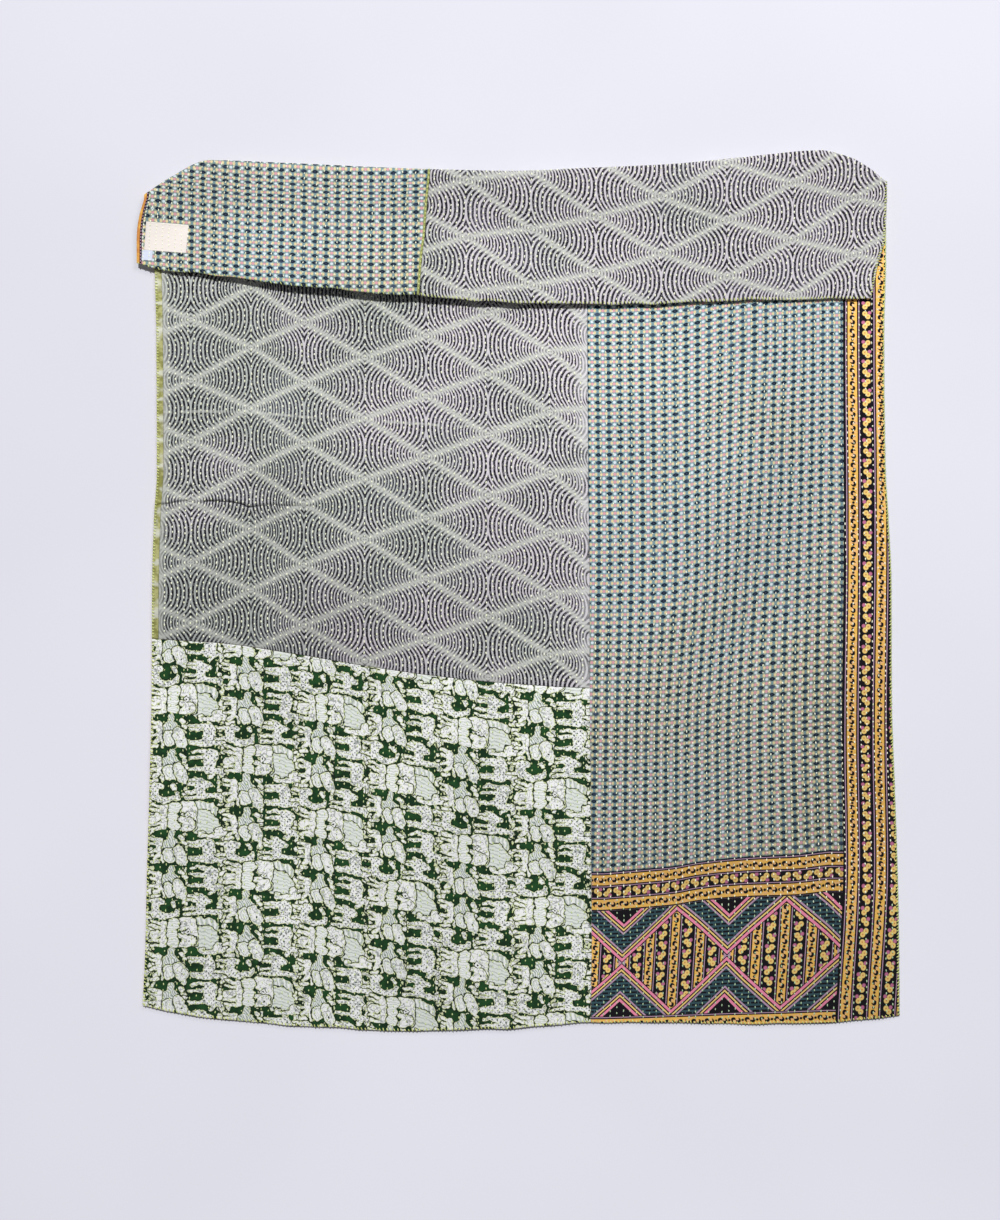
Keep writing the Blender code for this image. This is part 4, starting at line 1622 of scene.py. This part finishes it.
def animal_print(paint):
    """The green ground, then every figure in turn. A later one covers those before it."""
    down, column = coordinates(paint, "Print")
    down = down + off_line(paint, 130.0, 34.0)
    column = column + off_line(paint, 145.0, 38.0) * (1 / ROW_RISE)
    x, y = repeat_window(down, column, UPPER_FROM_X, UPPER_FROM_Y)
    low_x, low_y = repeat_window(down, column, LOWER_FROM_X, LOWER_FROM_Y)
    upper, lower = point(x, y), point(low_x, low_y)
    pair_x = low_x - (low_x > LOWER_FROM_X + PAIR) * (low_x < LOWER_FROM_X + 2 * PAIR) * PAIR
    pairs = point(pair_x, low_y)

    streak = noise(paint, 260.0, 2.0, (1.0, 0.25, 1.0))
    drawn = abs(noise(paint, 75.0, 1.5) - 0.46).rise(0.030, 0.012)
    finer = abs(noise(paint, 130.0, 1.0) - 0.52).rise(0.030, 0.012)
    white = dye(drawn.most(finer) * 0.60, WHITE, SPOT)
    green = dye(noise(paint, 60.0, 3.0).rise(0.35, 0.65), GREEN, GREEN_DEEP)
    cells = {0: point(down, column * ROW_RISE), "Scale": SPRIG_CELLS}
    sprig = paint.node("ShaderNodeTexVoronoi", None, cells)
    over_backs = y.rise(21.0, 26.0) * y.rise(46.0, 42.0)
    over_gourds = low_y.rise(-36.0, -31.0) * low_y.rise(-21.0, -24.0)
    no_sprigs = (1.0 - (over_backs + over_gourds)) * OUT_OF_WAY
    colour = paint_animal(green, (sprig - SPRIG_SIZE) * SPRIG_EDGE + no_sprigs, white)

    from_middle = x - RUMP_MIDDLE
    tiers = ((y + from_middle * from_middle * RUMP_BEND) / RUMP_STEP + streak * 0.8).wave()
    rump = dye(tiers.rise(-0.1, 0.9), SAGE, WHITE)
    rump = dye(tiers.rise(-0.80, -0.97) * 0.4, rump, SPOT)
    colour = paint_animal(colour, from_animal(upper, ELEPHANT_RUMP), rump)
    twisted = x - y * RIB_LEAN + (y - RIB_Y) * (x - RIB_X) * RIB_TWIST
    ribs = (twisted / RIB_STEP + streak * 0.8).wave()
    saddle = dye(ribs.rise(-0.9, 0.1), SAGE, WORN_SAGE)
    saddle = dye(ribs.rise(-0.80, -0.97) * 0.28, saddle, SPOT)
    colour = paint_animal(colour, from_animal(upper, ELEPHANT_SADDLE), saddle)
    colour = paint_animal(colour, from_animal(upper, ELEPHANT), white)
    colour = paint_animal(colour, from_animal(upper, CALF), white)
    spotted = spotted_coat(x, y, white)
    for walker in (CAMEL, STAG, DEER):
        colour = paint_animal(colour, from_animal(upper, walker), spotted)
    for eye in UPPER_EYES:
        colour = dye(in_eye(x, y, eye), colour, GREEN_DEEP)
    box = abs(x - FLOWER_X) + abs(y - FLOWER_Y)
    colour = dye(box.rise(6.9, 6.3) * 0.8, colour, GREEN_DEEP)
    colour = dye(box.rise(5.0, 4.4), colour, WHITE)
    colour = dye(box.rise(2.2, 1.6), colour, GREEN_DEEP)

    gourd = dye((low_x / GOURD_STEP + streak).wave().rise(-0.7, 0.2), SAGE, WHITE)
    colour = paint_animal(colour, from_animal(lower, GOURDS), gourd)
    colour = paint_animal(colour, from_animal(lower, GOAT), white)
    in_pair = low_x < LOWER_FROM_X + 2 * PAIR
    out = (1.0 - in_pair) * OUT_OF_WAY
    colour = paint_animal(colour, from_animal(pairs, HOUND) + out, white)
    colour = paint_animal(colour, from_animal(pairs, SPRIG) + out, white)
    feathers = ((pair_x * FEATHER_LEAN - low_y) / FEATHER_STEP + streak).wave()
    wing = dye(feathers.rise(-0.4, 0.9) * 0.9, SAGE_DEEP, WHITE)
    wing = dye(feathers.rise(-0.75, -0.95) * 0.7, wing, SPOT)
    colour = paint_animal(colour, from_animal(pairs, BIRD_WING) + out, wing)
    breast = from_animal(pairs, BIRD_BREAST) + out
    plumes = dye(feathers.rise(-0.9, 0.2), SAGE, WHITE)
    plumes = dye(abs(breast + PLUME_IN).rise(0.7, 0.2) * 0.6, plumes, SPOT)
    colour = paint_animal(colour, breast, plumes)
    head = from_animal(pairs, BIRD_HEAD) + out
    hood = abs((head + HOOD_IN) / HOOD_STEP).wave().rise(0.2, 0.8) * (head > -5.0)
    colour = paint_animal(colour, head, dye(hood * 0.6, white, SAGE_DEEP))
    colour = dye(in_eye(pair_x, low_y, BIRD_EYE) * in_pair, colour, GREEN_DEEP)
    return paint_animal(colour, from_animal(lower, SECOND_CAMEL), spotted_coat(low_x, low_y, white))


# %% [markdown]
# ## The strip and the six finishes
#
# The strip along the left edge is plain olive cotton. Where it is puckered, the raised cloth has
# worn pale. With that, every panel has its print, and the cotton and its wear are put under each.

# %% The strip, and a finish for each panel
STRIP_OLIVE = rgb(190, 189, 128)
STRIP_DEEP = rgb(150, 150, 86)
STRIP_PALE = rgb(228, 229, 214)
PUCKER_STRAY, PUCKER_WORN = 0.014, 0.10     # how far wear strays from a pucker, and its share of it


def strip_print(paint):
    """Plain olive cotton, worn pale where it is puckered."""
    y = coordinates(paint, "Print")[1]
    wobble = (noise(paint, 60.0) - 0.5) * PUCKER_STRAY
    colour = dye(noise(paint, 85.0, 3.0).rise(0.40, 0.60), STRIP_OLIVE, STRIP_DEEP)
    colour = dye(noise(paint, 34.0, 3.0).rise(0.52, 0.70) * 0.8, colour, STRIP_PALE)
    for pucker in PUCKERS:
        soft = pucker.length * PUCKER_WORN
        colour = dye(abs(y + wobble - pucker.y).rise(soft, 0.0010) * 0.75, colour, STRIP_PALE)
    return colour


FINISHES = {
    "front_scallop": finish_cotton("arc_cotton", front_arc_print, PaintedShade(0.55, 1.20, patches=PAINTED_LIGHT_PATCHES)),
    "back_scallop": finish_cotton("arc_cotton_reverse", back_arc_print, PaintedShade(0.84, 1.02)),
    "front_dots": finish_cotton("dotted_cotton", sari_print, PaintedShade(0.47, 1.28, 0.38, PAINTED_LIGHT_PATCHES)),
    "back_dots": finish_cotton("dotted_cotton_reverse", reverse_sari_print, PaintedShade(0.90, 1.10)),
    "front_animals": finish_cotton("animal_cotton", animal_print, PaintedShade(0.72, 1.00, 0.0)),
    "edge_strip": finish_cotton("olive_cotton", strip_print, PaintedShade()),
}
for name, piece in panels.items():
    piece.data.materials.append(FINISHES[name])
print("finishes", [finish.name for finish in FINISHES.values()])

# %% [markdown]
# ## The stitches
#
# Thousands of running stitches hold the layers together. Each is a short grain of thread. A
# Geometry Nodes tree lays a net of points in the cloth's own coordinates, looks up where each point
# lies on the panel, and puts a grain there, turned to the row and with its lower part in the cloth.
# The same tree, with a single row and a turn, makes the overcast stitches along the edges.

# %% The tree that sews
NET_INPUTS = {            # counted in rows and stitches of the quilt
    "First row": 1.0,
    "Row step": 1.0,
    "Row count": 2,
    "First stitch": 1.0,
    "Stitch step": 1.0,
    "Stitch count": 2,
}
GRAIN_INPUTS = {
    "Late share": 0.0,    # how much of a pitch a late row begins later
    "Turn": 0.0,
    "Length": 0.0060,
    "Thickness": 0.0025,
    "Height": 0.0013,
    "Wander": 0.05,
    "Roundness": 3,
    "Seed": 1,
    "Thread": None,
}
STITCH_INPUTS = {**NET_INPUTS, **GRAIN_INPUTS}
SMALLEST, LARGEST = (0.82, 0.78, 0.85), (1.15, 1.22, 1.15)   # of a grain's thickness, length, height
AIM, HEM_CLEAR = 0.2, 0.05   # stitches ahead and behind that give its direction, but not past a hem
ROW_WANDER, TURN_WANDER = 0.35, 0.16   # how far it strays across its row, and by how many radians
RAISED = 0.25             # share of its height by which its middle stands over the cloth
SOCKETS = {float: "NodeSocketFloat", int: "NodeSocketInt", type(None): "NodeSocketMaterial"}


def build_sewing_tree():
    """The node group. Its small helpers add nodes to it."""
    tree = bpy.data.node_groups.new("sewing", "GeometryNodeTree")
    sockets = tree.interface
    sockets.new_socket("Panel", in_out="INPUT", socket_type="NodeSocketGeometry")
    for name, default in STITCH_INPUTS.items():
        socket = sockets.new_socket(name, in_out="INPUT", socket_type=SOCKETS[type(default)])
        if default is not None:
            socket.default_value = default
    sockets.new_socket("Stitches", in_out="OUTPUT", socket_type="NodeSocketGeometry")
    given = tree.nodes.new("NodeGroupInput")
    asked = {socket.name: Value(tree, socket) for socket in given.outputs if socket.name}
    start = Value(tree)

    def vector(x, y, z):
        return start.node("ShaderNodeCombineXYZ", None, {0: x, 1: y, 2: z})

    def random(low, high, seed_shift):
        asks = {0: low, 1: high, "Seed": asked["Seed"] + seed_shift}
        return start.node("FunctionNodeRandomValue", {"data_type": "FLOAT_VECTOR"}, asks)

    def named(kind, name):
        return start.node("GeometryNodeInputNamedAttribute", {"data_type": kind}, {"Name": name})

    wide = (asked["Row count"] - 1.0) * asked["Row step"]
    long = (asked["Stitch count"] - 1.0) * asked["Stitch step"]
    counts = {0: wide, 1: long, 2: asked["Row count"], 3: asked["Stitch count"]}
    net = start.node("GeometryNodeMeshGrid", None, counts)
    x, y, _ = parts(start.node("GeometryNodeInputPosition"))
    row = x + wide / 2.0 + asked["First row"]
    late = (((row + 0.5).whole() * 3.0).math("MODULO", 5.0) < 2.0) * asked["Late share"]
    stitch = y + long / 2.0 + asked["First stitch"] + late
    stray_row, stray_stitch, stray_turn = parts(random((-1, -1, -1), (1, 1, 1), 0))
    stitch = stitch + stray_stitch * asked["Wander"]
    across = (row + stray_row * asked["Wander"] * ROW_WANDER) * (1 / ROWS)

    panel_map, shown = named("FLOAT_VECTOR", "Cloth"), named("BOOLEAN", "shows")
    skin = start.node("GeometryNodeSeparateGeometry", {"domain": "FACE"}, {0: asked["Panel"], 1: shown})

    def look_up(what, along, output=0):
        """A value of the panel at this row and a place along it. Output 1 says whether cloth is there."""
        where = vector(across, along * (1 / STITCHES), 0.0)
        asks = {0: skin, 1: what, 2: panel_map, 3: where}
        return start.node("GeometryNodeSampleUVSurface", {"data_type": "FLOAT_VECTOR"}, asks, output)

    position = start.node("GeometryNodeInputPosition")
    spot = look_up(position, stitch)
    found = look_up(position, stitch, output=1)
    ahead = look_up(position, (stitch + AIM).least(STITCHES - HEM_CLEAR))
    behind = look_up(position, (stitch - AIM).most(HEM_CLEAR))
    up = look_up(start.node("GeometryNodeInputNormal"), stitch)
    axes = {"primary_axis": "Z", "secondary_axis": "Y"}
    along_row = vector_sum("SUBTRACT", ahead, behind)
    frame_turn = start.node("FunctionNodeAxesToRotation", axes, {0: up, 1: along_row})
    tilt = vector(0.0, 0.0, asked["Turn"] + stray_turn * TURN_WANDER)
    lean = start.node("FunctionNodeEulerToRotation", None, {0: tilt})
    turned = start.node("FunctionNodeRotateRotation", {"rotation_space": "LOCAL"}, {0: frame_turn, 1: lean})

    ball = start.node("GeometryNodeMeshUVSphere", None, {0: 4, 1: asked["Roundness"], 2: 1.0})
    grain = start.node("GeometryNodeTransform", None, {0: ball, 2: (math.pi / 2, math.pi / 4, 0.0)})
    half_size = vector(asked["Thickness"] / 2.0, asked["Length"] / 2.0, asked["Height"])
    size = vector_sum("MULTIPLY", half_size, random(SMALLEST, LARGEST, 7))
    sewn = start.node("GeometryNodeInstanceOnPoints", None, {0: net, 1: found, 2: grain, 5: turned, 6: size})
    lift = asked["Height"] * RAISED
    raised = vector_sum("MULTIPLY", up, vector(lift, lift, lift))
    laid = start.node("GeometryNodeSetPosition", None, {0: sewn, 2: vector_sum("ADD", spot, raised)})
    solid = start.node("GeometryNodeRealizeInstances", None, {0: laid})
    soft = start.node("GeometryNodeSetShadeSmooth", None, {0: solid})
    last = start.node("GeometryNodeSetMaterial", None, {0: soft, 2: asked["Thread"]})
    tree.links.new(last.socket, tree.nodes.new("NodeGroupOutput").inputs[0])
    return tree


sewing = build_sewing_tree()
print("sewing tree:", len(sewing.nodes), "nodes")

# %% Threads
THREAD = rgb(253, 253, 232)
THREAD_SHADED = rgb(240, 244, 210)
GREEN_THREAD = rgb(216, 226, 168)       # the same thread, tinged by the green print
GREEN_THREAD_DARK = rgb(192, 208, 134)
EDGE_THREAD = rgb(226, 232, 156)
EDGE_THREAD_DARK = rgb(190, 200, 112)
STAINED_THREAD = rgb(178, 206, 164)
STAIN_FROM, STAIN_SIDE = (-0.500, -0.540), 0.122     # how low and how far to the right the stain begins
TWIST = 0.0002            # depth of the thread's twist


def thread_finish(name, light, dark, stained=None):
    """Cotton thread: two tones and a fine twist. It may have taken some dye from the lower border."""
    material, shader, paint = new_finish(name)
    tone = dye(noise(paint, 160.0).rise(0.35, 0.65), light, dark)
    if stained:
        x, y = parts(seat(paint), 2)
        tone = dye(y.rise(*STAIN_FROM) * (x > STAIN_SIDE), tone, stained)
    set_look(shader, tone, 0.8, noise(paint, 1500.0, 1.0, (1.0, 0.5, 1.0)), TWIST)
    return material


quilting_thread = thread_finish("quilting_thread", THREAD, THREAD_SHADED, STAINED_THREAD)
green_thread = thread_finish("green_thread", GREEN_THREAD, GREEN_THREAD_DARK)
edge_thread = thread_finish("edge_thread", EDGE_THREAD, EDGE_THREAD_DARK)
print("threads", quilting_thread.name, green_thread.name, edge_thread.name)

# %% [markdown]
# Stitch rows stay on their own panel, so a seam never has a stitch across it. Where the flap hides
# the front, the stitches are left out, because nobody can see them.

# %% Sew the rows
Field = namedtuple("Field", "name panel rows stitches roundness thread length thick")
FRONT_LAST = 129          # the last stitch before the flap hides the front
FIELDS = table(Field, [
    ("scallop_stitches", "front_scallop", (2, 67), (57, FRONT_LAST), 3, quilting_thread, 0.0050, 0.0033),
    ("animal_stitches", "front_animals", (1, 67), (1, 55), 3, green_thread, 0.0042, 0.0026),
    ("dot_stitches", "front_dots", (69, 114), (1, FRONT_LAST), 3, quilting_thread, 0.0046, 0.0028),
    ("flap_dot_stitches", "back_dots", (1, 43), (137, 159), 3, quilting_thread, 0.0046, 0.0028),
    ("flap_scallop_stitches", "back_scallop", (45, 114), (137, 159), 3, quilting_thread, 0.0050, 0.0033),
    ("under_dot_stitches", "back_dots", (1, 43), (1, 136), 2, quilting_thread, 0.0046, 0.0028),
    ("under_scallop_stitches", "back_scallop", (45, 114), (1, 136), 2, quilting_thread, 0.0050, 0.0033),
])
FIELD_WANDER = 0.13       # how far a running stitch strays


def sew(name, panel_name, net, **grain):
    """Stitches on one panel, as a plain mesh of their own. net has the values of NET_INPUTS in order."""
    piece = bpy.data.objects.new(name, panels[panel_name].data.copy())
    bpy.context.scene.collection.objects.link(piece)
    maker = piece.modifiers.new("sewing", "NODES")
    maker.node_group = sewing
    identifiers = {s.name: s.identifier for s in sewing.interface.items_tree if s.in_out == "INPUT"}
    given = dict(zip(NET_INPUTS, net))
    given.update({key.replace("_", " ").capitalize(): value for key, value in grain.items()})
    for key, default in STITCH_INPUTS.items():
        value = given.get(key, default)
        maker[identifiers[key]] = value if default is None else type(default)(value)
    keep_result(piece)
    return piece


def sew_field(field, seed):
    """Running stitches on every row of a field. Those of the reverse lie under the front's gaps."""
    (first, last), (low, high) = field.rows, field.stitches
    shift = 0.5 if field.panel.startswith("back") else 0.0
    net = first, 1, last - first + 1, low - shift, 1, high - low + 1
    return sew(
        field.name, field.panel, net, thread=field.thread, seed=seed, late_share=0.5, wander=FIELD_WANDER,
        length=field.length, thickness=field.thick, roundness=field.roundness,
    )


stitches = {field.name: sew_field(field, 40 + i) for i, field in enumerate(FIELDS)}

# %% Sew the edges
Overcast = namedtuple("Overcast", "name panel net turn")
NEAR_EDGE = 0.19          # rows or stitches in from the edge
OVERCASTS = table(Overcast, [
    ("left_edge_stitches", "front_animals", (NEAR_EDGE, 1, 1, 0.3, 0.55, 101), 62),
    ("strip_edge_stitches", "edge_strip", (NEAR_EDGE, 1, 1, 56.4, 0.55, 132), 62),
    ("right_edge_stitches", "front_dots", (ROWS - NEAR_EDGE, 1, 1, 0.3, 0.55, 232), -62),
    ("left_hem_stitches", "front_animals", (0.3, 0.55, 123, NEAR_EDGE, 1, 1), 24),
    ("right_hem_stitches", "front_dots", (68.4, 0.55, 84, NEAR_EDGE, 1, 1), 24),
    ("flap_left_hem_stitches", "back_dots", (0.3, 0.8, 55, STITCHES - NEAR_EDGE, 1, 1), 24),
    ("flap_right_hem_stitches", "back_scallop", (44.6, 0.55, 127, STITCHES - NEAR_EDGE, 1, 1), 24),
    ("flap_right_edge_stitches", "back_scallop", (ROWS - NEAR_EDGE, 1, 1, 0.3, 0.55, 290), -62),
    ("seam_stitches", "back_dots", (BACK_SEAM * ROWS - 0.17, 1, 1, 0.4, 0.8, 199), 8),
])
for i, edge in enumerate(OVERCASTS):
    stitches[edge.name] = sew(
        edge.name, edge.panel, edge.net, thread=edge_thread, seed=70 + i, turn=math.radians(edge.turn)
    )

# %% [markdown]
# ## The two labels
#
# A woven label and a small care tape are sewn on the flap near its left end. Both are bare here.
# Each is a fine grid dropped onto the flap from straight above. It bridges the dips between the
# puffs, because woven tape is stiffer than the quilt.

# %% Labels
Label = namedtuple("Label", "name x y turn width height")
LABELS = table(Label, [
    ("label", -0.5900, 0.5920, -4.5, 0.0710, 0.0480),
    ("care_label", -0.6220, 0.5620, -5.0, 0.0180, 0.0172),
])
FLAP_LEVEL = 0.02         # about the height of the flap
ABOVE = 0.2               # a height over everything, from which the cloth is felt for
LABEL_GRAIN = 0.0015      # between points of a label
LABEL_THICK = 0.0004
LABEL_SEAT = 0.0003       # between a label and the highest cloth under it
BRIDGING = 6              # rounds of smoothing over the puffs


def heights_under(places, target):
    """Height of the cloth straight under each place, or beside it where the cloth has ended."""
    corners = [tuple(face.vertices) for face in target.data.polygons]
    tree = BVHTree.FromPolygons([vertex.co for vertex in target.data.vertices], corners)
    heights = []
    for x, y in places:
        hit = tree.ray_cast(Vector((x, y, ABOVE)), Vector((0, 0, -1)))[0]
        hit = hit or tree.find_nearest(Vector((x, y, FLAP_LEVEL)))[0]
        heights.append(hit.z)
    return np.array(heights)


def make_label(label, target):
    columns = round(label.width / LABEL_GRAIN) + 1
    rows = round(label.height / LABEL_GRAIN) + 1
    piece = shell(label.name + "_tape", columns, rows)
    mesh = piece.data
    column, row = grid_places(mesh, columns, rows)
    turn = math.radians(label.turn)
    right = (column / (columns - 1) - 0.5) * label.width
    up = (row / (rows - 1) - 0.5) * label.height
    x = label.x + right * math.cos(turn) - up * math.sin(turn)
    y = label.y + right * math.sin(turn) + up * math.cos(turn)
    cloth = heights_under(zip(x, y), target)
    grid = np.empty((rows, columns))
    grid[row, column] = cloth
    lowest = grid.copy()
    for _ in range(BRIDGING):
        padded = np.pad(grid, 1, mode="edge")
        mean = (padded[:-2, 1:-1] + padded[2:, 1:-1] + padded[1:-1, :-2] + padded[1:-1, 2:]) / 4
        grid = np.maximum(mean, lowest)
    z = grid[row, column] + LABEL_SEAT
    top = np.stack((x, y, z + LABEL_THICK), -1)
    set_skins(mesh, top, np.stack((x, y, z), -1))
    add_map(mesh, "Tape", np.tile(np.stack((right, up), -1), (2, 1)))
    return piece


# %% The tapes' finish
LABEL_CREAM = rgb(242, 234, 228)
LABEL_WEFT = rgb(232, 222, 214)
TAPE_WHITE = rgb(222, 229, 246)
TAPE_WEFT = rgb(206, 214, 234)
LABEL_CORD = 0.0007       # between cords of the weave
TAPE_TURN, TAPE_SOFT = 0.0022, 0.0003       # width of the turned edge, and how softly it ends
TURN_HIGH, CORD_HIGH, TAPE_SLUB = 0.00018, 0.00003, 0.00006


def tape_finish(name, light, dark, label):
    """Fine ribbed tape with a turned edge."""
    material, shader, paint = new_finish(name)
    right, up = coordinates(paint, "Tape")
    cord = (up / LABEL_CORD).wave() * 0.5 + 0.5
    slub = noise(paint, 500.0, 2.0, (0.3, 1.0, 1.0))
    colour = dye((cord * 0.5 + slub * 0.6).rise(0.3, 0.9), light, dark)
    in_side, in_end = abs(right) - label.width / 2 + TAPE_TURN, abs(up) - label.height / 2 + TAPE_TURN
    turned = in_side.most(in_end).rise(-TAPE_SOFT, TAPE_SOFT)
    set_look(shader, colour, 0.7, turned * TURN_HIGH + cord * CORD_HIGH + slub * TAPE_SLUB)
    return material


labels = {label.name: make_label(label, panels["back_dots"]) for label in LABELS}
cream_tape = tape_finish("label_tape", LABEL_CREAM, LABEL_WEFT, LABELS[0])
white_tape = tape_finish("care_tape", TAPE_WHITE, TAPE_WEFT, LABELS[1])
labels["label"].data.materials.append(cream_tape)
labels["care_label"].data.materials.append(white_tape)

# %% [markdown]
# ## Hand over the pieces
#
# Each piece rides on the one body. A panel or a label stands in for its plain solid, which is hidden.

# %% Ride and replace
SEWN_ON = {field.name: field.panel for field in FIELDS}
SEWN_ON.update({edge.name: edge.panel for edge in OVERCASTS})
FLAP_PANELS = ("back_dots", "back_scallop")
for piece in stitches.values():
    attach(piece, "root")
for name, piece in panels.items():
    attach(piece, "root")
    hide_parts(name)
    rests = [] if name in FLAP_PANELS else list(FLAP_PANELS)
    sewn = [stitches[key] for key in stitches if SEWN_ON[key] == name]
for label in LABELS:
    piece = labels[label.name]
    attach(piece, "root")
    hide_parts(label.name)
print(len(panels) + len(labels) + len(stitches), "pieces handed over")
